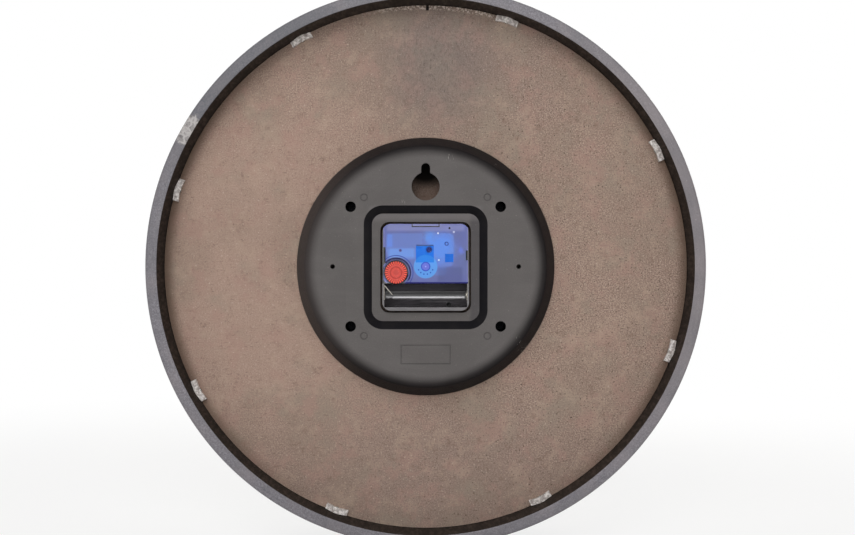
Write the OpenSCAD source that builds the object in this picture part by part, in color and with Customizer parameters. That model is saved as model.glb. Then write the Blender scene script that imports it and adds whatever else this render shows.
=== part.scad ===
// Round wall clock: rim, glass, dial and board, with a back cover that hangs it and a quartz movement.
// Lengths are millimetres. It hangs upright, its dial faces -Y and the wall is on its +Y side.
// The pieces are drawn as seen from the front, with z as the depth from the wall, and then turned upright.

/* [Rim and glass] */
// Outside diameter of the rim
rim_d = 360; // [330:2:420]
// Width of the rim's flat back, from the inner wall to the outside
rim_wall = 7.5; // [6:0.1:12]
// Rounding of the rim's outer back edge
rim_edge_r = 1.8; // [0.8:0.1:2.6]
// Rounding of the rim's front shoulder
rim_nose_r = 12; // [8:0.5:16]
// How far the front lip reaches inwards over the glass
lip_w = 7.5; // [5:0.5:12]
// Thickness of the front lip
lip_t = 3; // [2:0.1:4]
// Thickness of the glass
glass_t = 2.5; // [2:0.1:4]

/* [Board and dial] */
// Thickness of the hardboard backing
board_t = 3; // [2.5:0.1:5]
// Thickness of the dial sheet
dial_t = 0.4; // [0.2:0.05:1]
// Play between the stacked discs and the rim's inner wall
disc_play = 0.5; // [0.2:0.1:1]
// Width of the ring that keeps the glass off the dial
spacer_w = 5.8; // [4:0.1:7]

/* [Clips] */
// Length of one clip along the rim
clip_l = 14.8; // [10:0.2:20]
// Width of one clip across the rim
clip_w = 3.7; // [2.5:0.1:5]
// Height of one clip off the board
clip_h = 2.8; // [2.4:0.1:4]
// Lean of each clip's arms away from the wall, in degrees
clip_lean = 9; // [4:1:14]

/* [Back cover] */
// Gap between the wall and the cover's face
wall_gap = 3; // [1:0.5:8]
// Thickness of the cover's moulding
cover_wall = 2.2; // [1.6:0.1:3]
// Outer rounding of the cover's shoulder
shoulder_r = 6; // [4:0.5:9]
// Lean of the cover's side wall, in degrees
side_lean = 23.4; // [10:0.2:30]
// Flat band between the keyhole's top and the shoulder
cover_band = 6.6; // [4:0.2:14]
// Radius of the keyhole's round entry
entry_r = 9; // [6:0.1:10]
// Half the width of the keyhole's slot
slot_r = 2.85; // [2:0.05:3.5]
// Distance from the entry's centre to the slot's end centre
slot_rise = 12.1; // [11:0.1:16]
// Width of the square recess's ledge
ledge_w = 5.5; // [4:0.1:8]
// Depth of the ledge below the cover's face
ledge_depth = 5; // [3:0.1:6]
// Width of the sloped wall around the ledge, seen square on
slope_w = 5.05; // [3:0.05:6]
// Gap between the movement and the cover's square opening
opening_gap = 1.3; // [0.8:0.1:2.5]
// Radius of a screw well
well_r = 3.35; // [3.1:0.05:3.6]

/* [Movement] */
// How far the movement's back lies below the cover's face
sink = 1.8; // [0.5:0.1:4]
// Thickness of the see-through lid
lid_t = 1.2; // [0.8:0.1:2]
// Thickness of the movement's side walls
case_wall = 1.4; // [1:0.1:2]
// Thickness of the movement's front wall
floor_t = 1.6; // [1.2:0.1:2.5]
// Thickness of the rubber gasket between movement and board
gasket_t = 0.8; // [0.5:0.1:1.5]
// Radius of the setting knob
knob_r = 7.2; // [5.5:0.1:8]
// Diameter of the battery that the bay takes
cell_d = 14.5; // [12:0.1:15]
// Length of the battery that the bay takes
cell_l = 50.5; // [42:0.1:51]

/* [Wheels] */
// Tooth module of the step motor's train
step_module = 0.22; // [0.2:0.01:0.24]
// Tooth module between the third wheel's pinion and the centre wheel
slow_module = 0.168; // [0.164:0.001:0.17]
// Tooth module between the minute pipe, the motion wheel and the knob
motion_module = 0.33; // [0.31:0.005:0.335]
// Thickness of the train's wheels
wheel_t = 0.6; // [0.5:0.05:0.9]
// Thickness of the wheels under the dial
motion_t = 0.8; // [0.6:0.05:1.2]
// Gap between two wheels, along their shafts
layer_gap = 0.4; // [0.35:0.05:0.8]

/* [Hands] */
// Length of the hour hand from the centre
hour_hand_l = 92; // [70:1:110]
// Length of the minute hand from the centre
minute_hand_l = 134; // [100:1:150]
// Length of the second hand from the centre
second_hand_l = 140; // [100:1:155]
// Thickness of a hand
hand_t = 0.6; // [0.4:0.05:1]
// Gap between the hour hand and the minute hand
hand_gap = 2; // [1.5:0.1:4]

/* [Hidden] */
// Overrun of a cut past the face it opens
over = 1;
// Running clearance between a shaft and its hole
run = 0.05;
// Gap between pieces that never touch
free = 0.3;
$fn = 64;

// Tooth counts of the train, from the motor to the hands
rotor_teeth = 10;
step_wheel_teeth = 60;
step_pinion_teeth = 12;
seconds_teeth = 60;
slow_pinion_teeth = 10;
third_teeth = 75;
centre_teeth = 80;
cannon_teeth = 12;
motion_teeth = 36;
motion_pinion_teeth = 10;
hour_teeth = 40;
knob_teeth = 34;

// Centre distances, from the tooth counts
step_dist = step_module * (rotor_teeth + step_wheel_teeth) / 2;
seconds_dist = step_module * (step_pinion_teeth + seconds_teeth) / 2;
third_dist = slow_module * (slow_pinion_teeth + centre_teeth) / 2;
third_module = 2 * third_dist / (slow_pinion_teeth + third_teeth);
motion_dist = motion_module * (cannon_teeth + motion_teeth) / 2;
hour_module = 2 * motion_dist / (motion_pinion_teeth + hour_teeth);
knob_dist = motion_module * (motion_teeth + knob_teeth) / 2;

// Places of the shafts around the centre, as directions in degrees and distances
// The rotor lies on the side of the intermediate wheel that faces the coil
step_dir = 146;
rotor_from_step = 54.5;
third_dir = 47;
motion_dir = -11.4;
step_at = seconds_dist * heading(step_dir);
rotor_at = step_at + step_dist * heading(rotor_from_step);
third_at = third_dist * heading(third_dir);
motion_at = motion_dist * heading(motion_dir);
knob_at = (motion_dist + knob_dist) * heading(motion_dir);

// Shafts, pipes and pivots
pivot_r = 0.3;
boss_skin = 0.35;
arbor_r = 0.6;
pipe_in_r = arbor_r + run;
pipe_r = 1.6;
pipe_seat_r = 1.2;
pipe_tip_r = 1.3;
tube_in_r = pipe_r + run;
tube_r = 2.5;
bush_in_r = tube_r + run;
bush_r = 4;
bush_hole_r = bush_r + free;
stud_r = 0.7;
knob_shaft_r = 1.5;
boss_h = 0.3;
hub_h = 0.2;
hub_r = 2.6;
bridge_t = 0.8;
stator_t = 1;
magnet_t = 1.4;
magnet_r = 2.2;
flange_t = 1.2;
flange_r = 5.5;
hour_hub_h = 1.3;
pivot_in = 1;
knob_pin = 2;

// Depths from the wall plane, one on the next
cover_z = wall_gap;
back_z = cover_z + sink;
lid_z = back_z + lid_t;
hub_z = lid_z + boss_h + free;
seconds_z = hub_z + hub_h;
bridge_z = seconds_z + wheel_t + layer_gap;
step_z = bridge_z + bridge_t + layer_gap;
magnet_z = step_z + wheel_t + free;
stator_z = magnet_z + (magnet_t - stator_t) / 2;
third_z = magnet_z + magnet_t + layer_gap;
centre_z = third_z + wheel_t + layer_gap;
motion_z = centre_z + wheel_t + layer_gap;
hour_z = motion_z + motion_t + layer_gap;
flange_z = hour_z + motion_t + hour_hub_h + layer_gap;
floor_z = flange_z + flange_t;
front_z = floor_z + floor_t;
board_z = front_z + gasket_t;
dial_z = board_z + board_t;
face_z = dial_z + dial_t;

// The stack in front of the dial
washer_t = 0.6;
washer_r = 7;
nut_t = 2.2;
nut_r = 6.4;
bush_spare = 0.8;
tube_out = 2.6;
cap_t = 1.3;
cap_r = 2.6;
glass_gap = 1.6;
second_hub_h = 1.4;
bush_end = face_z + washer_t + nut_t + bush_spare;
hour_hand_z = bush_end + tube_out;
minute_hand_z = hour_hand_z + hand_t + hand_gap;
cap_z = minute_hand_z + hand_t;
second_hub_z = cap_z + cap_t + 1.5 * free;
second_hand_z = second_hub_z + (second_hub_h - hand_t) / 2;
glass_z = second_hub_z + second_hub_h + glass_gap;
lip_z = glass_z + glass_t;
rim_depth = lip_z + lip_t;

// Rim
rim_r = rim_d / 2;
wall_r = rim_r - rim_wall;
lip_r = wall_r - lip_w;
disc_r = wall_r - disc_play;

// Movement outline: the knob clears the side wall, and the case is square
knob_side_gap = 1.71;
case_half = knob_at[0] + knob_r + knob_side_gap;
case_r = 5.5;
inner_half = case_half - case_wall;
case_dy = -0.5;

// Battery bay, at the foot of the case
cell_play = 0.45;
contact_room = 1.45;
bay_r = cell_d / 2 + cell_play;
bay_half = cell_l / 2 + contact_room;
bay_lip = 2.2;
bay_y = case_dy - case_half + bay_lip + bay_r;
bay_skin = 0.8;
bay_z = front_z - bay_skin - bay_r;
bay_top_y = bay_y + bay_r;
bay_wall = 0.8;
train_low_y = bay_top_y + bay_wall;
train_high_y = case_dy + inner_half;
lid_low_y = bay_top_y;
lid_high_y = case_dy + case_half;

// Small hole and groove in the bay
bay_hole_r = 1.1;
bay_hole_off = [-14.5, -5.7];
bay_hole_at = [0, bay_y] + bay_hole_off;
bay_groove_up = 1.9;
bay_groove_w = 0.4;

// Lug of the case in the lid's top edge
lug_w = 18;
lug_h = 2;

// Sides of the lid, which leave the case's wall bare, and the slots for the latches in them
lid_side_gap = 0.7;
lid_half = case_half - lid_side_gap;
latch_w = 1.4;
knob_latch_high = 12.5;
far_latch_low = 4;
far_latch_l = 6.4;

// Well around the knob
well_wall = 1.2;
knob_gap = 1.5;
knob_well_r = knob_r + knob_gap;
lid_seat = 0.1;
lid_cut_r = knob_well_r + lid_seat;
lid_cut_drop = 3;
knob_proud = 0.6;
deck_t = 0.8;
deck_z = bridge_z;
knob_z = back_z - knob_proud;
knob_h = deck_z - free - knob_z;

// Recess and keyhole of the cover, around the movement
opening_half = case_half + opening_gap;
opening_r = 5.5;
ledge_half = opening_half + ledge_w;
recess_half = ledge_half + slope_w;
recess_r = 12.3;
recess_mid = recess_half - recess_r;
recess_tan = slope_w / ledge_depth;
recess_skin = cover_wall / cos(atan(recess_tan));
entry_gap = 3.25;
entry_y = case_dy + recess_half + entry_gap + entry_r;
seat_y = entry_y + slot_rise;
neck_r = 1.2;

// Outline of the cover
cover_h = board_z - cover_z;
shoulder_mid = seat_y + slot_r + cover_band;
shoulder_z = cover_z + shoulder_r;
foot_r = shoulder_mid + shoulder_r / cos(side_lean) + (board_z - shoulder_z) * tan(side_lean);

// Screw wells of the cover
well_skin = 1.65;
well_floor = 2.4;
well_out = 8.4;
well_up = 1.35;
well_x = recess_half + well_out;
well_y = recess_half - well_up;
screw_r = 1.45;
screw_head_r = 2.8;
screw_head_t = 1.8;
screw_hole_r = screw_r + 2 * run;
screw_point = 0.4;

// Marks on the cover's face
mark_depth = 0.3;
ejector_r = 2.1;
ejector_in = 0.45;
ejector_up = 4.75;
ejector_x = recess_half - ejector_in;
ejector_y = recess_half + ejector_up;
pin_hole_r = 1.1;
pin_hole_out = 20;
pin_hole_x = recess_half + pin_hole_out;
label_w = 32;
label_h = 12.5;
label_line = 0.5;
label_drop = 16.15;
label_y = case_dy - recess_half - label_drop;

// Clips around the rim, set by hand at nearly equal steps
clip_count = 8;
clip_first = 18;
clip_drift = [-0.8, -1.7, 0.3, 0.3, 1, 0.7, 2.1, -1.6];
clip_flat = 1.5;
brad_r = 0.5;
brad_head_r = 1.1;
brad_head_t = 0.5;
brad_bite = 4.5;
clip_seat_r = wall_r - run;

// Board notch
notch_w = 1.9;
notch_depth = 3.3;
notch_x = -1.15;

// Coil, core and stator of the step motor, placed from the rotor
coil_l = 21;
coil_w = 9;
coil_cheek = 0.9;
coil_core_w = 3.6;
coil_inset = 0.6;
coil_off = [15.5, 6.5];
coil_at = rotor_at + coil_off;
coil_depth = 2 * (stator_z + stator_t / 2 - lid_z - free);
core_reach = 1.7;
stator_ring = 1.7;
stator_gap = 0.4;
stator_leg = 2.4;

// Posts that carry the bridge, and the bridge's window
post_r = 1.3;
post_pin_r = 0.8;
post_head = 0.3;
post_eye = 0.7;
post_offs = [[18.4, -0.3], [-11.4, 4], [-9.1, -14.1]];
post_spots = [for (off = post_offs) rotor_at + off];
// The bridge's outline and window, from the rotor's place
bridge_r = 8;
bridge_end_gap = 1.9;
bridge_right = inner_half - bridge_end_gap;
arm_low = [0, -6.5];
arm_rise = 1.9;
wing_low = [-16.1, -10.7];
wing_rise = 10.8;
wing_cut = 1.8;
lobe_r = post_r + post_eye + 0.3;
window_low = [-3.2, -8];
window_high = [8.3, 2.9];
chip_window = 5.6;

// Circuit board with its chip and crystal
pcb_t = 0.8;
chip_t = 0.8;
chip_w = 3.4;
chip_h = 4.6;
chip_off = [-13.1, -5.2];
chip_at = rotor_at + chip_off;
chip_shift = 1.2;
pcb_z = bridge_z + bridge_t + chip_t + free;
pcb_edge = 1.4;
pcb_left = -inner_half + free;
pcb_right = step_at[0] - step_module * step_wheel_teeth / 2 - pcb_edge;
pcb_low = train_low_y + case_r - case_wall;
pcb_high = post_spots[1][1] - post_r - free;
crystal_r = 1;
crystal_l = 6.2;
crystal_off = [-20.6, -3.3];
crystal_at = rotor_at + crystal_off;

// Contacts of the battery bay
contact_t = 0.3;
contact_w = 6;
contact_sink = 1.5;
contact_foot = 2;
contact_low_z = back_z + contact_sink;
contact_h = bay_z + contact_foot - free / 2 - contact_low_z;
blade_reach = 5;
blade_top = 6.4;
blade_drop = 6.1;
pad_r = 2;
pad_h = 0.6;

// Hands as they stand at ten past ten
rest_minutes = 608;
rest_seconds = 35;
hour_angle = -rest_minutes / 2;
minute_angle = -(rest_minutes % 60) * 6;
second_angle = -rest_seconds * 6;
hand_hub_r = 6;
hour_hand_w = 7.5;
hour_tip_w = 5.5;
minute_hand_w = 6;
minute_tip_w = 3.8;
second_hand_w = 1.8;
second_tip_w = 1;

// Unit vector at a direction in degrees
function heading(a) = [cos(a), sin(a)];

// Involute of an angle, in degrees
function inv(a) = tan(a) * 180 / PI - a;

// Half the angle that a tooth spans at radius r, thinned for backlash
function half_tooth(r, pitch_r, teeth) =
    let (base_r = pitch_r * cos(20))
    let (at = r > base_r ? acos(base_r / r) : 0)
    90 / teeth * tooth_share + inv(20) - inv(at);
tooth_share = 0.86;
tip_share = 0.8;
root_share = 1.15;

// Turn of a gear that meshes with another: the tooth of one meets a gap of the other
function meshed(turn, teeth, next_teeth, dir) =
    dir + 180 - 180 / next_teeth + (dir - turn) * teeth / next_teeth;

// Toothed disc, with a tooth centred on the direction turn
module teeth_2d(teeth, mod, turn) {
    pitch_r = mod * teeth / 2;
    tip_r = pitch_r + tip_share * mod;
    root_r = pitch_r - root_share * mod;
    radii = teeth > 20 ? [root_r, tip_r] : [root_r, pitch_r, tip_r];
    steps = len(radii);
    polygon([
        for (tooth = [0 : teeth - 1], side = [-1, 1], k = [0 : steps - 1])
            let (r = side < 0 ? radii[k] : radii[steps - 1 - k])
            r * heading(turn + tooth * 360 / teeth + side * half_tooth(r, pitch_r, teeth))
    ]);
}

module gear(teeth, mod, turn, thick, bore_r) {
    linear_extrude(thick) difference() {
        teeth_2d(teeth, mod, turn);
        circle(bore_r);
    }
}

// Phase of each gear at rest, each in mesh with the one before it
seconds_turn = 0;
step_pinion_turn = meshed(seconds_turn, seconds_teeth, step_pinion_teeth, step_dir);
step_wheel_turn = 0;
rotor_turn = meshed(step_wheel_turn, step_wheel_teeth, rotor_teeth, rotor_from_step);
slow_pinion_turn = 0;
third_turn = meshed(slow_pinion_turn, slow_pinion_teeth, third_teeth, third_dir);
third_pinion_turn = 0;
centre_turn = meshed(third_pinion_turn, slow_pinion_teeth, centre_teeth, third_dir + 180);
cannon_turn = 0;
motion_turn = meshed(cannon_turn, cannon_teeth, motion_teeth, motion_dir);
knob_turn = meshed(motion_turn, motion_teeth, knob_teeth, motion_dir);
motion_pinion_turn = 0;
hour_turn = meshed(motion_pinion_turn, motion_pinion_teeth, hour_teeth, motion_dir + 180);

// Turns the drawing upright, with the hanging seat at the origin
module upright() {
    rotate([90, 0, 0]) translate([0, -seat_y, -cover_z]) children();
}

module at(place, z) {
    translate([place[0], place[1], z]) children();
}

// Disc or ring from depth z, with thickness t
module ring(outer_r, inner_r, z, t, sides = 160) {
    translate([0, 0, z]) difference() {
        cylinder(r = outer_r, h = t, $fn = sides);
        translate([0, 0, -over]) cylinder(r = inner_r, h = t + 2 * over);
    }
}

// Rectangle from its low corner to its high corner, with round corners
module round_rect(low, high, r) {
    for (x = [low[0] + r, high[0] - r], y = [low[1] + r, high[1] - r])
        translate([x, y]) circle(r);
    translate([low[0] + r, low[1]]) square([high[0] - low[0] - 2 * r, high[1] - low[1]]);
    translate([low[0], low[1] + r]) square([high[0] - low[0], high[1] - low[1] - 2 * r]);
}

module slab(z, t) {
    translate([0, 0, z]) linear_extrude(t) children();
}

// Rim: a turned ring with a lip that holds the glass, drilled for the brads
module rim_profile() {
    difference() {
        union() {
            polygon([
                [lip_r, 0], [rim_r - rim_edge_r, 0], [rim_r, rim_edge_r],
                [rim_r, rim_depth - rim_nose_r], [rim_r - rim_nose_r, rim_depth], [lip_r, rim_depth],
            ]);
            translate([rim_r - rim_edge_r, rim_edge_r]) circle(rim_edge_r);
            translate([rim_r - rim_nose_r, rim_depth - rim_nose_r]) circle(rim_nose_r);
        }
        translate([0, -over]) square([wall_r, lip_z + over]);
        square([lip_r, rim_depth + over]);
    }
}

module clip_places() {
    for (i = [0 : clip_count - 1])
        rotate([0, 0, clip_first + i * 360 / clip_count + clip_drift[i] - 90])
            translate([0, 0, board_z - clip_h]) children();
}

module case_rim() {
    color("#7f7a7d") upright() difference() {
        rotate_extrude($fn = 240) rim_profile();
        clip_places()
            translate([0, wall_r - over, clip_h / 2]) rotate([-90, 0, 0])
                cylinder(r = brad_r + run, h = brad_bite + over + free, $fn = 24);
    }
}

module front_glass() {
    color("#dfe8ea", 0.35) upright() ring_disc(glass_z, glass_t);
}

module ring_disc(z, t) {
    translate([0, 0, z]) cylinder(r = disc_r, h = t, $fn = 240);
}

module spacer_ring() {
    color("#e9e7e2") upright() difference() {
        ring_disc(face_z, glass_z - face_z);
        translate([0, 0, face_z - over])
            cylinder(r = disc_r - spacer_w, h = glass_z - face_z + 2 * over, $fn = 240);
    }
}

module dial() {
    color("#f4f2ec") upright() difference() {
        ring_disc(dial_z, dial_t);
        translate([0, 0, dial_z - over]) cylinder(r = bush_hole_r, h = dial_t + 2 * over);
    }
}

module backing_board() {
    color("#9a8376") upright() difference() {
        ring_disc(board_z, board_t);
        translate([0, 0, board_z - over]) {
            cylinder(r = bush_hole_r, h = board_t + 2 * over);
            well_places() cylinder(r = screw_r + run, h = board_t + over - free / 2, $fn = 24);
            translate([notch_x - notch_w / 2, disc_r - notch_depth])
                cube([notch_w, notch_depth + over, board_t + 2 * over]);
        }
    }
}

// Clip: a clear strip kinked at its middle, whose middle lies on the rim's wall
module clip_2d() {
    half = clip_l / 2;
    drop = (half - clip_flat) * tan(clip_lean);
    outer = [[-half, -drop], [-clip_flat, 0], [clip_flat, 0], [half, -drop]];
    inner = [for (k = [3 : -1 : 0]) outer[k] - [0, clip_w]];
    polygon(concat(outer, inner));
}

module retaining_clips() {
    color("#cfc9c4", 0.6) upright() clip_places() difference() {
        translate([0, clip_seat_r]) linear_extrude(clip_h) clip_2d();
        translate([0, clip_seat_r - clip_w - over, clip_h / 2]) rotate([-90, 0, 0])
            cylinder(r = brad_r + run, h = clip_w + 2 * over, $fn = 24);
    }
}

module clip_brads() {
    head_at = clip_seat_r - clip_w;
    color("#d8d6d2") upright() clip_places()
        translate([0, head_at - brad_head_t, clip_h / 2]) rotate([-90, 0, 0]) {
            cylinder(r = brad_head_r, h = brad_head_t, $fn = 32);
            cylinder(r = brad_r, h = brad_head_t + clip_w + brad_bite, $fn = 24);
        }
}

// Cover: a shallow dished moulding with a square recess for the movement
module cover_profile(inset, reach) {
    corner_r = shoulder_r - inset;
    foot = foot_r - inset / cos(side_lean) + reach * tan(side_lean);
    polygon([
        [0, cover_z + inset],
        [shoulder_mid, cover_z + inset],
        [shoulder_mid + corner_r * cos(side_lean), shoulder_z - corner_r * sin(side_lean)],
        [foot, board_z + reach],
        [0, board_z + reach],
    ]);
    difference() {
        translate([shoulder_mid, shoulder_z]) circle(corner_r);
        translate([shoulder_mid - shoulder_r, shoulder_z]) square([2 * shoulder_r, shoulder_r]);
    }
}

// Square funnel with round corners, between two depths
module funnel(extra, z_a, z_b) {
    r_a = recess_r - (z_a - cover_z) * recess_tan + extra;
    r_b = recess_r - (z_b - cover_z) * recess_tan + extra;
    for (x = [-1, 1], y = [-1, 1])
        translate([x * recess_mid, case_dy + y * recess_mid, z_a])
            cylinder(r1 = r_a, r2 = r_b, h = z_b - z_a);
    for (turn = [0, 90])
        translate([0, case_dy]) rotate([90, 0, turn]) linear_extrude(2 * recess_mid, center = true)
            polygon([
                [-recess_mid - r_a, z_a], [recess_mid + r_a, z_a],
                [recess_mid + r_b, z_b], [-recess_mid - r_b, z_b],
            ]);
}

module square_opening(half, r) {
    round_rect([-half, case_dy - half], [half, case_dy + half], r);
}

module well_places() {
    for (x = [-well_x, well_x], y = [-well_y, well_y])
        translate([x, y, 0]) children();
}

// Keyhole outline, with the corners eased where the slot meets the round entry
module keyhole_2d() {
    translate([0, entry_y]) circle(entry_r);
    translate([0, seat_y]) circle(slot_r);
    translate([-slot_r, entry_y]) square([2 * slot_r, slot_rise]);
    ease_x = slot_r + neck_r;
    ease_y = entry_y + sqrt((entry_r + neck_r) * (entry_r + neck_r) - ease_x * ease_x);
    difference() {
        translate([-ease_x, entry_y]) square([2 * ease_x, ease_y - entry_y]);
        for (x = [-ease_x, ease_x]) translate([x, ease_y]) circle(neck_r);
    }
}

module cover_marks() {
    for (x = [-ejector_x, ejector_x], y = [-ejector_y, ejector_y])
        translate([x, y]) circle(ejector_r);
    difference() {
        translate([0, label_y]) square([label_w, label_h], center = true);
        translate([0, label_y])
            square([label_w - 2 * label_line, label_h - 2 * label_line], center = true);
    }
}

module hanger_cover() {
    color("#646060") upright() difference() {
        union() {
            difference() {
                rotate_extrude($fn = 200) cover_profile(0, 0);
                rotate_extrude($fn = 200) cover_profile(cover_wall, over);
            }
            funnel(recess_skin, cover_z, cover_z + ledge_depth + cover_wall);
            well_places() translate([0, 0, cover_z])
                cylinder(r = well_r + well_skin, h = cover_h);
        }
        funnel(0, cover_z - over, cover_z + ledge_depth);
        slab(cover_z, cover_h) square_opening(opening_half, opening_r);
        slab(cover_z - over, cover_wall + 2 * over) keyhole_2d();
        well_places() translate([0, 0, cover_z - over]) {
            cylinder(r = well_r, h = cover_h - well_floor + over);
            cylinder(r = screw_hole_r, h = cover_h + 2 * over, $fn = 32);
        }
        for (x = [-pin_hole_x, pin_hole_x])
            translate([x, 0, cover_z - over]) cylinder(r = pin_hole_r, h = cover_wall + 2 * over);
        slab(cover_z - over, over + mark_depth) cover_marks();
    }
}

// Pan-head screws with a cross in the head, whose points end inside the board
module cover_screws() {
    head_z = board_z - well_floor - screw_head_t;
    shank_l = well_floor + board_t - screw_point - free;
    slot_w = screw_head_r / 3;
    slot_l = screw_head_r * 1.4;
    color("#b9bbbd") upright() well_places() difference() {
        union() {
            translate([0, 0, head_z]) cylinder(r = screw_head_r, h = screw_head_t);
            translate([0, 0, head_z + screw_head_t]) cylinder(r = screw_r, h = shank_l, $fn = 24);
            translate([0, 0, head_z + screw_head_t + shank_l])
                cylinder(r1 = screw_r, r2 = screw_r / 2, h = screw_point, $fn = 24);
        }
        for (turn = [0, 90])
            rotate([0, 0, turn]) translate([-slot_l / 2, -slot_w / 2, head_z - over])
                cube([slot_l, slot_w, over + screw_head_t / 2]);
    }
}

module case_outline() {
    round_rect([-case_half, case_dy - case_half], [case_half, case_dy + case_half], case_r);
}

module train_room() {
    round_rect([-inner_half, train_low_y], [inner_half, train_high_y], case_r - case_wall);
}

// Trough for the battery: a round floor with straight sides up to the open back
module battery_bay() {
    rotate([0, 90, 0]) translate([-bay_z, bay_y, -bay_half])
        cylinder(r = bay_r, h = 2 * bay_half, $fn = 96);
    translate([-bay_half, bay_y - bay_r, back_z - over])
        cube([2 * bay_half, 2 * bay_r, bay_z - back_z + over]);
}

// Upright pivot boss on the case's floor, up to depth z
module floor_boss(place, r, z) {
    at(place, z) cylinder(r = r, h = floor_z - z);
}

module pivot_hole(place, r, z, depth) {
    at(place, z - over) cylinder(r = r, h = depth + over, $fn = 32);
}

module movement_case() {
    color("#333031") upright() difference() {
        union() {
            difference() {
                slab(back_z, front_z - back_z) case_outline();
                slab(back_z - over, floor_z - back_z + over) train_room();
                slab(back_z - over, lid_t + over)
                    translate([-case_half - over, lid_low_y])
                        square([2 * (case_half + over), 2 * case_half]);
                battery_bay();
            }
            // Deck and curved wall of the knob's well
            intersection() {
                at(knob_at, lid_z) cylinder(r = knob_well_r + well_wall, h = deck_z + deck_t - lid_z);
                slab(lid_z, front_z - lid_z) train_room_grown();
            }
            for (spot = post_spots) floor_boss(spot, post_r, bridge_z + bridge_t);
            for (spot = post_spots) floor_boss(spot, post_pin_r, bridge_z - post_head);
            floor_boss(rotor_at, pivot_r + boss_skin, magnet_z + magnet_t + free);
            floor_boss(step_at, pivot_r + boss_skin, stator_z + stator_t + free);
            floor_boss(third_at, pivot_r + boss_skin, centre_z + wheel_t + 1.5 * free);
            floor_boss(motion_at, stud_r, motion_z - free);
            floor_boss(motion_at, 2 * stud_r, hour_z + motion_t + free);
            floor_boss(knob_at, knob_shaft_r + post_eye, motion_z + motion_t + free);
            pcb_shelf();
            slab(back_z, lid_t) translate([-lug_w / 2 + free, lid_high_y - lug_h + free])
                square([lug_w - 2 * free, lug_h - 2 * free]);
        }
        at(knob_at, lid_z - over) cylinder(r = knob_well_r, h = deck_z - lid_z + over);
        at(knob_at, deck_z - over) cylinder(r = knob_shaft_r + run, h = deck_t + 2 * over);
        pivot_hole(rotor_at, pivot_r + run, magnet_z + magnet_t + free, pivot_in + free);
        pivot_hole(step_at, pivot_r + run, stator_z + stator_t + free, pivot_in + free);
        pivot_hole(third_at, pivot_r + run, centre_z + wheel_t + 1.5 * free, pivot_in + free);
        pivot_hole(knob_at, stud_r + run, motion_z + motion_t + free, knob_pin + free);
        translate([0, 0, floor_z - over]) cylinder(r = bush_r + run, h = floor_t + 2 * over);
        contact_slots();
        at(bay_hole_at, bay_z) cylinder(r = bay_hole_r, h = front_z - bay_skin - bay_z, $fn = 32);
        slab(back_z, front_z - bay_skin / 2 - back_z) bay_groove_2d();
    }
}

// Groove along the trough, below the round floor's upper part
module bay_groove_2d() {
    translate([-bay_half, bay_y + bay_groove_up]) square([2 * bay_half, bay_groove_w]);
}

// The train's room and half the wall around it, so that what stands in it joins the wall
module train_room_grown() {
    grow = case_wall / 2;
    round_rect([-inner_half - grow, train_low_y - bay_wall / 2], [inner_half + grow, train_high_y + grow],
        case_r - case_wall);
}

// Shelf along the side wall that the circuit board lies on
module pcb_shelf() {
    shelf_w = 2;
    shelf_in = 2;
    translate([-inner_half - case_wall / 2, pcb_low + shelf_in, pcb_z + pcb_t])
        cube([shelf_w + case_wall / 2, pcb_high - pcb_low - 2 * shelf_in, floor_z - pcb_z - pcb_t]);
}

// Slots at both ends of the bay that the contacts stand in
module contact_slots() {
    deep = contact_low_z + contact_h + free / 2 - back_z;
    slab(back_z - over, deep + over) {
        translate([-bay_half - contact_t - run, bay_y - contact_w / 2 - run])
            square([contact_t + run + over, contact_w + 2 * run]);
        translate([bay_half - over, bay_y - contact_w / 2 - run])
            square([contact_t + run + over, contact_w / 2 + blade_top + 2 * run]);
    }
}

// Lid: a see-through plate with a bite for the knob, two latch slots and a boss for each pivot
module movement_lid() {
    color("#4f6fd0", 0.55) upright() difference() {
        union() {
            slab(back_z, lid_t) intersection() {
                case_outline();
                translate([-lid_half, lid_low_y]) square([2 * lid_half, lid_high_y - lid_low_y]);
            }
            for (spot = [rotor_at, step_at, third_at, [0, 0]])
                at(spot, lid_z) cylinder(r = pivot_r + boss_skin, h = boss_h, $fn = 32);
        }
        at(knob_at, back_z - over) cylinder(r = lid_cut_r, h = lid_t + 2 * over);
        slab(back_z - over, lid_t + 2 * over) {
            translate([knob_at[0], lid_low_y - over])
                square([case_half, knob_at[1] + lid_cut_r - lid_cut_drop - lid_low_y + over]);
            translate([-lug_w / 2, lid_high_y - lug_h]) square([lug_w, lug_h + over]);
            translate([lid_half - latch_w, knob_at[1]])
                square([latch_w + over, knob_latch_high - knob_at[1]]);
            translate([-lid_half - over, far_latch_low]) square([latch_w + over, far_latch_l]);
        }
        for (spot = [rotor_at, step_at, third_at, [0, 0]])
            at(spot, lid_z + boss_h - pivot_in) cylinder(r = pivot_r + run, h = pivot_in + over, $fn = 32);
    }
}

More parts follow.
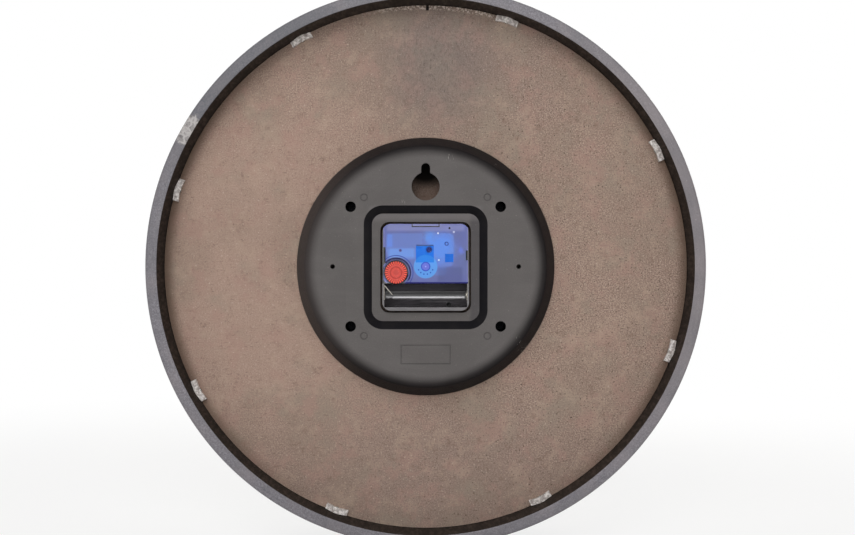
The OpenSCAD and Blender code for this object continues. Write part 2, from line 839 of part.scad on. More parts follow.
// Setting knob: a knurled head, a shaft through the deck, and a pinion on the motion wheel
module setting_knob() {
    knurls = 40;
    knurl_r = 0.35;
    dimple_r = 2.3;
    color("#cf4a45") upright() translate([knob_at[0], knob_at[1]]) {
        difference() {
            translate([0, 0, knob_z]) cylinder(r = knob_r, h = knob_h, $fn = 96);
            for (i = [0 : knurls - 1])
                rotate([0, 0, i * 360 / knurls]) translate([knob_r, 0, knob_z - over])
                    cylinder(r = knurl_r, h = knob_h + 2 * over, $fn = 6);
            translate([0, 0, knob_z - over]) cylinder(r = dimple_r, h = over + mark_depth);
        }
        translate([0, 0, knob_z + knob_h / 2])
            cylinder(r = knob_shaft_r, h = motion_z - knob_z - knob_h / 2 + motion_t / 2);
        translate([0, 0, motion_z]) gear(knob_teeth, motion_module, knob_turn, motion_t, stud_r / 2);
        translate([0, 0, motion_z]) cylinder(r = stud_r, h = motion_t + free + knob_pin, $fn = 32);
    }
}

// Contacts: thin strips that stand in slots at the bay's ends
// Negative: folded over at its top, with its free arm leaning into the bay
module negative_contact() {
    fold = bay_y + blade_top;
    tip = [bay_half - blade_reach, fold - blade_drop];
    low = bay_y - contact_w / 2;
    color("#c9c7bd") upright() slab(contact_low_z, contact_h) polygon([
        [bay_half, low], [bay_half + contact_t, low],
        [bay_half + contact_t, fold], [bay_half - contact_t, fold],
        tip - [contact_t, 0], tip, [bay_half, fold - contact_t],
    ]);
}

// Positive: a flat strip with a raised round pad
module positive_contact() {
    color("#c9c7bd") upright() {
        slab(contact_low_z, contact_h)
            translate([-bay_half - contact_t, bay_y - contact_w / 2]) square([contact_t, contact_w]);
        translate([-bay_half - contact_t / 2, bay_y, bay_z]) rotate([0, 90, 0])
            cylinder(r = pad_r, h = contact_t / 2 + pad_h, $fn = 48);
    }
}

// Wing of the bridge over the circuit board, with its outer corners cut off
module wing_2d() {
    right = arm_rise;
    left = wing_low[0];
    top = wing_rise;
    low = wing_low[1];
    polygon([
        [right, low], [right, top - wing_cut], [right - wing_cut, top],
        [left + wing_cut, top], [left, top - wing_cut],
        [left, low + wing_cut], [left + wing_cut, low],
    ]);
}

module train_bridge() {
    color("#e4e6ea") upright() slab(bridge_z, bridge_t) difference() {
        union() {
            circle(bridge_r);
            round_rect(rotor_at + arm_low, [bridge_right, rotor_at[1] + arm_rise], post_eye);
            translate(rotor_at) wing_2d();
            round_rect(post_spots[2] - [lobe_r, lobe_r], [0, rotor_at[1] + wing_low[1] + wing_cut], lobe_r);
            for (spot = post_spots) translate(spot) circle(post_r + post_eye);
        }
        translate(rotor_at + window_low) square(window_high - window_low);
        translate(knob_at) circle(knob_well_r + well_wall + free);
        translate(step_at) circle(step_module * step_pinion_teeth / 2 + 2 * free);
        translate(chip_at) square(chip_window, center = true);
        circle(arbor_r + 2 * free);
        for (spot = post_spots) translate(spot) circle(post_pin_r + run, $fn = 32);
    }
}

module circuit_board() {
    color("#5a6b3c") upright() slab(pcb_z, pcb_t) difference() {
        translate([pcb_left, pcb_low]) square([pcb_right - pcb_left, pcb_high - pcb_low]);
        for (spot = post_spots) translate(spot) circle(post_r + free);
    }
}

module chip() {
    color("#1d1f24") upright() at(chip_at, pcb_z - chip_t)
        translate([-chip_w / 2 - chip_shift, -chip_h / 2, 0]) cube([chip_w, chip_h, chip_t]);
}

module quartz_crystal() {
    color("#c4c8cc") upright() at(crystal_at, pcb_z - crystal_r) rotate([-90, 0, 0])
        cylinder(r = crystal_r, h = crystal_l, $fn = 48);
}

// Coil: a flanged former, the wire as one block, and the core's plate that runs to the rotor
module coil_block(length, width, depth) {
    translate([coil_at[0] - length / 2, coil_at[1] - width / 2, stator_z + stator_t / 2 - depth / 2])
        cube([length, width, depth]);
}

module coil_bobbin() {
    color("#d9dde6") upright() difference() {
        coil_block(coil_l, coil_w, coil_depth);
        difference() {
            coil_block(coil_l - 2 * coil_cheek, coil_w + over, coil_depth + over);
            coil_block(coil_l, coil_core_w + 2 * coil_cheek, stator_t + 2 * coil_cheek);
        }
        coil_block(coil_l + over, coil_core_w + 2 * run, stator_t + 2 * run);
    }
}

module coil_winding() {
    color("#b0713a") upright() difference() {
        coil_block(coil_l - 2 * coil_cheek - 2 * run, coil_w - coil_inset, coil_depth - coil_inset);
        coil_block(coil_l, coil_core_w + 2 * coil_cheek + 2 * run, stator_t + 2 * coil_cheek + 2 * run);
    }
}

module stator_plate() {
    left = coil_at[0] - coil_l / 2 - core_reach;
    right = coil_at[0] + coil_l / 2 + core_reach;
    leg_y = post_spots[0][1];
    side_leg = core_reach - free;
    color("#9aa0a6") upright() slab(stator_z, stator_t) difference() {
        union() {
            translate([left, coil_at[1] - coil_core_w / 2]) square([right - left, coil_core_w]);
            translate([right - side_leg, leg_y - stator_leg / 2])
                square([side_leg, coil_at[1] + coil_core_w / 2 - leg_y + stator_leg / 2]);
            translate([rotor_at[0], leg_y - stator_leg / 2])
                square([right - rotor_at[0], stator_leg]);
            translate([left, rotor_at[1]]) square([side_leg, coil_at[1] - rotor_at[1]]);
            translate(rotor_at) circle(magnet_r + stator_gap + stator_ring);
            translate(post_spots[0]) circle(post_r + post_eye);
        }
        translate(rotor_at) circle(magnet_r + stator_gap);
        translate(post_spots[0]) circle(post_r + run);
    }
}

module rotor_magnet() {
    color("#4a4a4e") upright() at(rotor_at, magnet_z) difference() {
        cylinder(r = magnet_r, h = magnet_t);
        translate([0, 0, -over]) cylinder(r = pivot_r + 2 * run, h = magnet_t + 2 * over, $fn = 32);
    }
}

module rotor_pinion() {
    color("#a44a55") upright() translate([rotor_at[0], rotor_at[1]]) {
        translate([0, 0, step_z - free / 2])
            gear(rotor_teeth, step_module, rotor_turn, wheel_t + 1.5 * free, pivot_r / 2);
        translate([0, 0, lid_z + boss_h - pivot_in + free / 2])
            cylinder(r = pivot_r, h = magnet_z + magnet_t + 2 * pivot_in - lid_z - boss_h, $fn = 32);
    }
}

module intermediate_wheel() {
    color("#f0f0ea") upright() translate([step_at[0], step_at[1]]) {
        translate([0, 0, step_z]) gear(step_wheel_teeth, step_module, step_wheel_turn, wheel_t, pivot_r / 2);
        translate([0, 0, seconds_z - free / 2])
            gear(step_pinion_teeth, step_module, step_pinion_turn, step_z - seconds_z + free, pivot_r / 2);
        translate([0, 0, lid_z + boss_h - pivot_in + free / 2])
            cylinder(r = pivot_r, h = stator_z + stator_t + 2 * pivot_in - lid_z - boss_h, $fn = 32);
    }
}

module seconds_wheel() {
    color("#58a0e8") upright() {
        translate([0, 0, seconds_z])
            gear(seconds_teeth, step_module, seconds_turn, wheel_t, arbor_r + run / 2);
        ring(hub_r, arbor_r + run / 2, hub_z, hub_h, 48);
        ring(arbor_r + free, arbor_r + run / 2, seconds_z + wheel_t / 2,
            third_z - seconds_z - wheel_t / 2, 32);
        translate([0, 0, third_z - free / 2])
            gear(slow_pinion_teeth, third_module, slow_pinion_turn, wheel_t + free, arbor_r + run / 2);
    }
}

module seconds_arbor() {
    color("#c8ccd0") upright() {
        translate([0, 0, hub_z])
            cylinder(r = arbor_r, h = second_hub_z + second_hub_h - hub_z - free, $fn = 32);
        translate([0, 0, lid_z + boss_h - pivot_in + free / 2])
            cylinder(r = pivot_r, h = hub_z - lid_z - boss_h + pivot_in, $fn = 32);
    }
}

module third_wheel() {
    color("#f0f0ea") upright() translate([third_at[0], third_at[1]]) {
        translate([0, 0, third_z]) gear(third_teeth, third_module, third_turn, wheel_t, pivot_r / 2);
        translate([0, 0, third_z + wheel_t / 2])
            gear(slow_pinion_teeth, slow_module, third_pinion_turn,
                centre_z - third_z + wheel_t / 2 + free / 2, pivot_r / 2);
        translate([0, 0, lid_z + boss_h - pivot_in + free / 2])
            cylinder(r = pivot_r, h = centre_z + wheel_t + free + 2 * pivot_in - lid_z - boss_h, $fn = 32);
    }
}

module centre_wheel() {
    color("#f0f0ea") upright() {
        translate([0, 0, centre_z])
            gear(centre_teeth, slow_module, centre_turn, wheel_t, pipe_seat_r + run);
        ring(pipe_seat_r + 3 * free, pipe_seat_r + run, centre_z, wheel_t + layer_gap / 2, 48);
    }
}

module minute_pipe() {
    color("#d8b45a") upright() difference() {
        union() {
            translate([0, 0, centre_z + run]) cylinder(r = pipe_seat_r, h = motion_z - centre_z, $fn = 48);
            translate([0, 0, motion_z])
                gear(cannon_teeth, motion_module, cannon_turn, motion_t, pipe_in_r);
            translate([0, 0, motion_z + motion_t / 2])
                cylinder(r = pipe_r, h = minute_hand_z - motion_z - motion_t / 2, $fn = 48);
            translate([0, 0, minute_hand_z - over])
                cylinder(r = pipe_tip_r, h = hand_t + cap_t + over, $fn = 48);
        }
        translate([0, 0, centre_z - over])
            cylinder(r = pipe_in_r, h = cap_z + cap_t - centre_z + 2 * over, $fn = 48);
    }
}

module motion_wheel() {
    color("#f0f0ea") upright() translate([motion_at[0], motion_at[1]]) {
        translate([0, 0, motion_z])
            gear(motion_teeth, motion_module, motion_turn, motion_t, stud_r + run);
        translate([0, 0, motion_z + motion_t / 2])
            gear(motion_pinion_teeth, hour_module, motion_pinion_turn, hour_z - motion_z + motion_t / 2,
                stud_r + run);
    }
}

module hour_wheel() {
    color("#f0f0ea") upright() {
        translate([0, 0, hour_z]) gear(hour_teeth, hour_module, hour_turn, motion_t, tube_in_r);
        ring(tube_r + hour_hub_h, tube_in_r, hour_z + motion_t / 2, motion_t / 2 + hour_hub_h, 48);
        ring(tube_r, tube_in_r, hour_z + motion_t / 2,
            hour_hand_z + hand_t - hour_z - motion_t / 2 + free, 48);
    }
}

module centre_bushing() {
    color("#c9a24c") upright() {
        ring(flange_r, bush_in_r, flange_z, flange_t, 64);
        ring(bush_r, bush_in_r, flange_z + flange_t / 2, bush_end - flange_z - flange_t / 2, 64);
    }
}

module rubber_gasket() {
    color("#26262a") upright() ring(gasket_r, bush_hole_r, front_z, gasket_t, 96);
}
gasket_r = 12;

module nut_washer() {
    color("#c9a24c") upright() ring(washer_r, bush_r + 2 * run, face_z, washer_t, 96);
}

module hex_nut() {
    color("#c9a24c") upright() ring(nut_r, bush_r + run, face_z + washer_t, nut_t, 6);
}

// Tapered baton with a round hub, pointing up
module hand_2d(length, tail, root_w, tip_w, hub) {
    polygon([
        [-root_w / 2, -tail], [root_w / 2, -tail], [root_w / 2, 0],
        [tip_w / 2, length - tip_w], [0, length], [-tip_w / 2, length - tip_w], [-root_w / 2, 0],
    ]);
    circle(hub);
}

module hour_hand() {
    color("#1c1c1e") upright() rotate([0, 0, hour_angle]) slab(hour_hand_z, hand_t) difference() {
        hand_2d(hour_hand_l, hand_hub_r * 3, hour_hand_w, hour_tip_w, hand_hub_r);
        circle(tube_r + run / 2);
    }
}

module minute_hand() {
    color("#1c1c1e") upright() rotate([0, 0, minute_angle]) slab(minute_hand_z, hand_t) difference() {
        hand_2d(minute_hand_l, hand_hub_r * 3, minute_hand_w, minute_tip_w, hand_hub_r);
        circle(pipe_tip_r + run / 2);
    }
}

module minute_nut() {
    color("#1c1c1e") upright() ring(cap_r, pipe_tip_r + run / 2, cap_z, cap_t, 48);
}

module second_hand() {
    tail = hand_hub_r * 5;
    color("#b3262a") upright() {
        rotate([0, 0, second_angle]) slab(second_hand_z, hand_t) difference() {
            hand_2d(second_hand_l, tail, second_hand_w, second_tip_w, hand_hub_r / 2);
            circle(arbor_r + run / 2);
        }
        ring(cap_r, arbor_r + run / 2, second_hub_z, second_hub_h, 48);
    }
}

case_rim();
front_glass();
spacer_ring();
dial();
backing_board();
retaining_clips();
clip_brads();
hanger_cover();
cover_screws();
movement_case();
movement_lid();
setting_knob();
negative_contact();
positive_contact();
train_bridge();
circuit_board();
chip();
quartz_crystal();
coil_bobbin();
coil_winding();
stator_plate();
rotor_magnet();
rotor_pinion();
intermediate_wheel();
seconds_wheel();
seconds_arbor();
third_wheel();
centre_wheel();
minute_pipe();
motion_wheel();
hour_wheel();
centre_bushing();
rubber_gasket();
nut_washer();
hex_nut();
hour_hand();
minute_hand();
minute_nut();
second_hand();
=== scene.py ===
"""Looks of a round wall clock, seen from behind: finishes, printed dial, small moulded and worn detail."""
from math import cos, radians, sin

import bmesh
import bpy
from mathutils import Matrix, Vector


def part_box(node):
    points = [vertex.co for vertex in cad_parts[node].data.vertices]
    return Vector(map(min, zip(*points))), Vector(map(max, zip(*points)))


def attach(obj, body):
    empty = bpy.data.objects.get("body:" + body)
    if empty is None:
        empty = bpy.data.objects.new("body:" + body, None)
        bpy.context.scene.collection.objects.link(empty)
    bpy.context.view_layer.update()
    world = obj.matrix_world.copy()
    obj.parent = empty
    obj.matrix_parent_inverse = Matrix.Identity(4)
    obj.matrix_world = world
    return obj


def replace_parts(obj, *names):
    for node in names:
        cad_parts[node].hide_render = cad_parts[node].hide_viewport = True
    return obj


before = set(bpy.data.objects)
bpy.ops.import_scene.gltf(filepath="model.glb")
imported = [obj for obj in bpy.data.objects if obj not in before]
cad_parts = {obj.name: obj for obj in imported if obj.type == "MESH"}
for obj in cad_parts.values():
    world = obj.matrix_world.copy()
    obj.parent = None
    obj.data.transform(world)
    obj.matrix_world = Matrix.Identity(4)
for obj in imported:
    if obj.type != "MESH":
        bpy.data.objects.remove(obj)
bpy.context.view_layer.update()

MM = 0.001
CASE = "clock_case"

# Where things lie in the frame: x to the right and z up as seen from the front, y towards the wall
rim_low, rim_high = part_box("case_rim")
board_low, board_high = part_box("backing_board")
dial_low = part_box("dial")[0]
lid_low, lid_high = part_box("movement_lid")
case_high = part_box("movement_case")[1]
knob_low, knob_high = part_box("setting_knob")
centre = (rim_low + rim_high) / 2
axis_at = Vector((centre.x, 0, centre.z))
rim_r = (rim_high.x - rim_low.x) / 2
board_r = (board_high.x - board_low.x) / 2
# Middle of the knob and, left and right as seen from behind, the lid's edges, in millimetres from the
# clock's axis; the bay lies below the lid
KNOB_X = ((knob_low.x + knob_high.x) / 2 - axis_at.x) / MM
KNOB_Y = ((knob_low.z + knob_high.z) / 2 - axis_at.z) / MM
LID_LEFT, LID_RIGHT = [(x - axis_at.x) / MM for x in (lid_high.x, lid_low.x)]
BAY_TOP, LID_TOP = [(z - axis_at.z) / MM for z in (lid_low.z, lid_high.z)]


def from_axis(x, y, depth_at):
    """Point at x and y millimetres from the clock's axis, as seen from the front, at a depth in metres."""
    return Vector((axis_at.x + x * MM, depth_at, axis_at.z + y * MM))


# Shader nodes

def colour(code):
    """Linear colour of an sRGB hex value."""
    channels = [int(code[i:i + 2], 16) / 255 for i in (1, 3, 5)]
    return (*[c / 12.92 if c <= 0.04045 else ((c + 0.055) / 1.055) ** 2.4 for c in channels], 1)


def add(tree, kind, inputs=(), out=0, stops=(), into=None, **settings):
    """Adds a shader node with its settings, inputs and ramp stops, and returns one of its outputs.
    Inputs come in order or by socket; each is a number, a hex colour or another node's output. Into is
    a socket that takes this node's output."""
    node = tree.nodes.new("ShaderNode" + kind)
    for name, value in settings.items():
        setattr(node, name, value)
    for socket, value in inputs.items() if isinstance(inputs, dict) else enumerate(inputs):
        if isinstance(value, bpy.types.NodeSocket):
            tree.links.new(value, node.inputs[socket])
        else:
            node.inputs[socket].default_value = colour(value) if isinstance(value, str) else value
    for number, (position, code) in enumerate(stops):
        if 0 < number < len(stops) - 1:
            stop = node.color_ramp.elements.new(position)
        else:
            stop = node.color_ramp.elements[0 if number == 0 else -1]
            stop.position = position
        stop.color = colour(code)
    if into is not None:
        tree.links.new(node.outputs[out], into)
    return node.outputs[out] if node.outputs else None


# The Mix node's sockets, by number: those for colours, and its two for plain numbers
FACTOR, BELOW, ABOVE, MIXED = 0, 6, 7, 2
FIRST, SECOND = 2, 3


def material_for(name, **sockets):
    """New material with its Principled shader; a socket's name has low lines in place of spaces."""
    material = bpy.data.materials.new(name)
    material.use_nodes = True
    shader = material.node_tree.nodes["Principled BSDF"]
    for socket, value in sockets.items():
        shader.inputs[socket.replace("_", " ")].default_value = value
    return material, material.node_tree, shader


def from_centre(tree, stretch=(1, 1, 1), about=axis_at):
    """Object coordinates measured from a point, such as the clock's axis, stretched along each axis."""
    moved = [-a * s for a, s in zip(about, stretch)]
    coords = add(tree, "TexCoord", out="Object")
    return add(tree, "Mapping", {"Vector": coords, "Location": moved, "Scale": stretch})


def around(tree, about=axis_at):
    """Angle in radians, distance in metres and depth of each point, round an axis that runs along y."""
    here = from_centre(tree, about=about)
    across, depth, up = [add(tree, "SeparateXYZ", [here], out=axis) for axis in "XYZ"]
    flat = add(tree, "VectorMath", [here, (1, 0, 1)], operation="MULTIPLY")
    reach = add(tree, "VectorMath", [flat], out="Value", operation="LENGTH")
    return add(tree, "Math", [across, up], operation="ARCTAN2"), reach, depth


def mottle(tree, where, size, low, high, most=1.0, detail=3, rough=0.55):
    """Soft-edged patches about size across, from none where the noise is low to most where it is high."""
    tone = add(tree, "TexNoise", {"Vector": where, "Scale": 1 / size, "Detail": detail, "Roughness": rough})
    return add(tree, "MapRange", [tone, low, high, 0, most], interpolation_type="SMOOTHSTEP")


def spot(tree, point, outer, inner, stretch=(1, 1, 1), ragged=0):
    """Mask that rises to 1 around a point, in stretched axes, and whose edge may wander."""
    off = add(tree, "VectorMath", [add(tree, "TexCoord", out="Object"), point], operation="SUBTRACT")
    off = add(tree, "VectorMath", [off, stretch], operation="MULTIPLY")
    reach = add(tree, "VectorMath", [off], out="Value", operation="LENGTH")
    if ragged:
        wander = mottle(tree, from_centre(tree), 6 * MM, 0.25, 0.75, ragged, 4, 0.7)
        reach = add(tree, "Math", [reach, wander], operation="ADD")
    return add(tree, "MapRange", [reach, outer, inner], interpolation_type="SMOOTHSTEP")


def disc(tree, x, y, outer, inner, ragged=0):
    """Mask of a round place at any depth, in millimetres from the clock's axis as seen from the front."""
    return spot(tree, from_axis(x, y, 0), outer * MM, inner * MM, (1, 0, 1), ragged * MM)


def hoop(tree, x, y, outer, inner, soft=0.3):
    """Mask of a ring: a disc with a smaller one taken out of it."""
    discs = [disc(tree, x, y, radius, radius - soft) for radius in (outer, inner)]
    return add(tree, "Math", discs, operation="SUBTRACT")


def window(tree, x_low, x_high, y_low, y_high, soft=0.25):
    """Mask of a rectangle, in millimetres from the clock's axis as seen from the front."""
    here = from_centre(tree)
    across, up = [add(tree, "SeparateXYZ", [here], out=axis) for axis in "XZ"]
    mask = 1
    for value, low, high in ((across, x_low, x_high), (up, y_low, y_high)):
        for edge, side in ((low, 1), (high, -1)):
            limits = [value, (edge - side * soft) * MM, (edge + side * soft) * MM]
            step = add(tree, "MapRange", limits, interpolation_type="SMOOTHSTEP")
            mask = add(tree, "Math", [mask, step], operation="MULTIPLY")
    return mask


def coats(tree, shader, body, *layers):
    """Lays colours one over the other, each through its mask, and gives the last to the shader.
    A layer is a mask, a colour and, where the mask isn't laid on in full, the most of it."""
    for mask, above, *most in layers:
        if most:
            mask = add(tree, "Math", [mask, most[0]], operation="MULTIPLY")
        body = add(tree, "Mix", {FACTOR: mask, BELOW: body, ABOVE: above}, out=MIXED, data_type="RGBA")
    tree.links.new(body, shader.inputs["Base Color"])
    return body


# Finishes of what shows from behind

def pressed_hardboard():
    """Hardboard: brown wood fibre pressed smooth, with fine grain, soft clouds, dark flecks and grime."""
    material, tree, shader = material_for("pressed_hardboard", Roughness=0.9, Specular_IOR_Level=0.15)
    here = from_centre(tree)
    # A second place to take noise from, so that layers of like size don't fall together
    elsewhere = from_centre(tree, about=axis_at + Vector((0, 1, 0)))
    fibre = mottle(tree, here, 0.9 * MM, 0.28, 0.72, 1, 5, 0.8)
    brown = add(tree, "ValToRGB", [fibre], stops=[
        (0.1, "#6f5d53"), (0.4, "#907b6f"), (0.6, "#9f887b"), (0.9, "#c2afa1")])
    across = add(tree, "SeparateXYZ", [here], out="X")
    reach = around(tree)[1]
    # Painted shade near the rim wall, most at the sides
    sides = add(tree, "Math", [across], operation="ABSOLUTE")
    sides = add(tree, "MapRange", [sides, 70 * MM, 150 * MM, 0, 0.8])
    edge = add(tree, "MapRange", [reach, board_r - 9 * MM, board_r], interpolation_type="SMOOTHSTEP")
    edge = add(tree, "Math", [edge, sides], operation="MULTIPLY")
    # Torn pale fibres along the top of the cut edge
    torn = add(tree, "MapRange", [reach, board_r - 3.2 * MM, board_r - 2 * MM])
    torn = add(tree, "Math", [torn, mottle(tree, here, 1.8 * MM, 0.5, 0.56, 0.9, 4, 0.8)],
               operation="MULTIPLY")
    torn = add(tree, "Math", [torn, spot(tree, from_axis(-10, 172, board_high.y), 60 * MM, 20 * MM)],
               operation="MULTIPLY")
    # Painted shade under the cover, and a painted shadow of the cover's top edge behind the keyhole's slot
    covered = add(tree, "MapRange", [reach, 86 * MM, 82 * MM, 0, 0.6])
    keyhole_shadow = spot(tree, from_axis(0, 67, board_high.y), 18 * MM, 9 * MM)
    # Wide zones: warmer on the left as seen from behind, drabber at the foot and the top
    warm = spot(tree, from_axis(110, 0, board_high.y), 180 * MM, 40 * MM)
    foot = spot(tree, from_axis(-10, -150, board_high.y), 130 * MM, 20 * MM, (0.7, 1, 1.3))
    drab = spot(tree, from_axis(-15, 150, board_high.y), 120 * MM, 20 * MM, (1, 1, 1.3))
    # Dark flecks, more of them on the right as seen from behind
    flecks = add(tree, "MapRange", [across, 60 * MM, -60 * MM, 0.3, 0.85])
    flecks = add(tree, "Math", [flecks, mottle(tree, here, 1.3 * MM, 0.62, 0.72, 1, 2)],
                 operation="MULTIPLY")
    # Grime rubbed on above the keyhole, and at the upper right as seen from behind, in short upright strokes
    upright = from_centre(tree, (1, 1, 0.45))
    veil = spot(tree, from_axis(-8, 134, board_high.y), 56 * MM, 6 * MM, (1.1, 1, 0.9))
    grime = add(tree, "Math", [veil, mottle(tree, upright, 1.3 * MM, 0.48, 0.7, 0.75, 6, 0.85)],
                operation="MULTIPLY")
    strokes = spot(tree, from_axis(-84, 108, board_high.y), 46 * MM, 8 * MM)
    strokes = add(tree, "Math", [strokes, mottle(tree, upright, 3 * MM, 0.5, 0.68, 0.5, 6, 0.85)],
                  operation="MULTIPLY")
    level, plumb = [from_centre(tree, stretch) for stretch in ((0.2, 1, 1), (1, 1, 0.2))]
    coats(tree, shader, brown,
          (warm, "#ac9284", 0.6), (drab, "#7d6f68", 0.5), (foot, "#83726a", 0.5),
          # Clouds, from 55 mm across down to 8 mm
          (mottle(tree, here, 55 * MM, 0.42, 0.6, 0.4, 4), "#8b7a6d"),
          (mottle(tree, here, 28 * MM, 0.5, 0.68, 0.4, 5, 0.65), "#94897b"),
          (mottle(tree, elsewhere, 20 * MM, 0.48, 0.64, 0.5, 5, 0.7), "#a4857a"),
          (mottle(tree, here, 13 * MM, 0.48, 0.7, 0.45, 5, 0.75), "#b09a89"),
          (mottle(tree, elsewhere, 8 * MM, 0.54, 0.68, 0.55, 6, 0.8), "#7c665b"),
          # Dark fibres that lie level and upright, dark flecks and pale specks
          (mottle(tree, level, 1.3 * MM, 0.58, 0.74, 0.5, 3, 0.7), "#6f5c51"),
          (mottle(tree, plumb, 1.3 * MM, 0.6, 0.74, 0.45, 3, 0.7), "#7b5f53"),
          (flecks, "#4a3e37"),
          (mottle(tree, elsewhere, 1.3 * MM, 0.64, 0.74, 0.45, 2, 0.4), "#cdbcae"),
          # Grime above the keyhole and at the upper right, and painted shade near the rim wall
          (veil, "#716a68", 0.45), (grime, "#474240"), (strokes, "#554c47"), (edge, "#5f4d41"),
          # Torn fibres, painted shade under the cover and the painted shadow behind the keyhole's slot
          (torn, "#e0d2c6"), (covered, "#4a3f39"), (keyhole_shadow, "#0f0b09"))
    add(tree, "Bump", {"Height": fibre, "Distance": 0.06 * MM}, into=shader.inputs["Normal"])
    return material


def worn_rim_paint():
    """Satin paint on fibreboard: grey, faintly streaked, and in one place worn to pale, cracked board."""
    material, tree, shader = material_for("worn_rim_paint", Roughness=0.5, Specular_IOR_Level=0.3)
    here = from_centre(tree)
    angle, reach, depth = around(tree)
    along = add(tree, "Math", [angle, rim_r], operation="MULTIPLY")
    polar = add(tree, "CombineXYZ", [along, reach, depth])
    turned = add(tree, "Mapping", {"Vector": polar, "Scale": (0.12, 1, 1)})
    streak = mottle(tree, turned, 1.3 * MM, 0.3, 0.7, 0.35, 3, 0.6)
    grain = mottle(tree, here, 0.9 * MM, 0.28, 0.72, 1, 5, 0.8)
    grey = add(tree, "ValToRGB", [grain], stops=[(0.1, "#626066"), (0.5, "#78757a"), (0.9, "#908c93")])
    # As seen from behind, warmer on the right, and painted shade at the upper left
    warm = spot(tree, from_axis(-165, 30, rim_high.y), 190 * MM, 60 * MM)
    shade_upper_left = spot(tree, from_axis(116, 118, rim_high.y), 105 * MM, 40 * MM)
    # Rubbed place on the back face, with a net of cracks about 4 mm across
    worn = spot(tree, from_axis(152, 88, rim_high.y), 15 * MM, 12 * MM, ragged=7 * MM)
    bent = add(tree, "TexNoise", {"Vector": here, "Scale": 1 / (3 * MM), "Detail": 4}, out="Color")
    bent = add(tree, "VectorMath", [bent, (5 * MM, 5 * MM, 5 * MM), here], operation="MULTIPLY_ADD")
    crack = add(tree, "TexVoronoi", {"Vector": bent, "Scale": 1 / (4.5 * MM)}, out="Distance",
                feature="DISTANCE_TO_EDGE")
    crack = add(tree, "MapRange", [crack, 0.02, 0.2, 0.85, 0])
    blotch = mottle(tree, here, 2.4 * MM, 0.48, 0.6, 0.9, 5, 0.8)
    ground = "#9a9593"
    for mask, above in ((blotch, "#5d5856"), (crack, "#cdc8c5")):
        ground = add(tree, "Mix", {FACTOR: mask, BELOW: ground, ABOVE: above}, out=MIXED, data_type="RGBA")
    coats(tree, shader, grey, (warm, "#8d8484", 0.55), (streak, "#66646a"),
          # Clouds, scuffs along the turned streaks, pale specks and dark pits
          (mottle(tree, here, 60 * MM, 0.42, 0.62, 0.45), "#68666a"),
          (mottle(tree, here, 24 * MM, 0.45, 0.7, 0.35), "#8b8385"),
          (mottle(tree, turned, 2.4 * MM, 0.6, 0.7, 0.35, 4, 0.7), "#55535a"),
          (mottle(tree, here, 1.4 * MM, 0.64, 0.74, 0.45, 3), "#a9a4a8"),
          (mottle(tree, here, 1.2 * MM, 0.36, 0.26, 0.5, 3), "#4b494f"),
          # Painted shade at the upper left as seen from behind, and the rubbed place
          (shade_upper_left, "#484b51", 0.45), (worn, ground, 0.7))
    add(tree, "Bump", {"Height": streak, "Distance": 0.02 * MM}, into=shader.inputs["Normal"])
    return material


def stained_rim_wall():
    """The rim's inner wall: the same board, nearly black and matt, darker in streaks."""
    material, tree, shader = material_for("stained_rim_wall", Roughness=0.8, Specular_IOR_Level=0.1)
    here = from_centre(tree, (1, 0.25, 1))
    fibre = mottle(tree, here, 2.2 * MM, 0.25, 0.75, 1, 5, 0.7)
    brown = add(tree, "ValToRGB", [fibre], stops=[(0.2, "#2d2723"), (0.55, "#38302b"), (0.85, "#473d37")])
    coats(tree, shader, brown, (mottle(tree, here, 14 * MM, 0.45, 0.7, 0.5), "#231e1b"))
    add(tree, "Bump", {"Height": fibre, "Distance": 0.1 * MM}, into=shader.inputs["Normal"])
    return material


# Radii between which the cover's shoulder turns from grey to black, partly a change of finish and partly
# painted shade over its rounding
SHOULDER_GREY, SHOULDER_BLACK = 69.5 * MM, 77 * MM
# Places on the cover, in millimetres from the axis: ejector marks, screw wells and vent holes
EJECTOR_X, EJECTOR_Y = 39.8, 44.6
WELL_X, WELL_Y = 48.3, 38.5
VENT_X = 59.85
# Places where something hard has caught the cover: x, y and size in millimetres
SCRAPES = ((-14.5, 70, 4.5), (14.7, 41, 2.5), (-59, -48, 3.5), (-64, -54, 5), (-45, 66, 1.5))


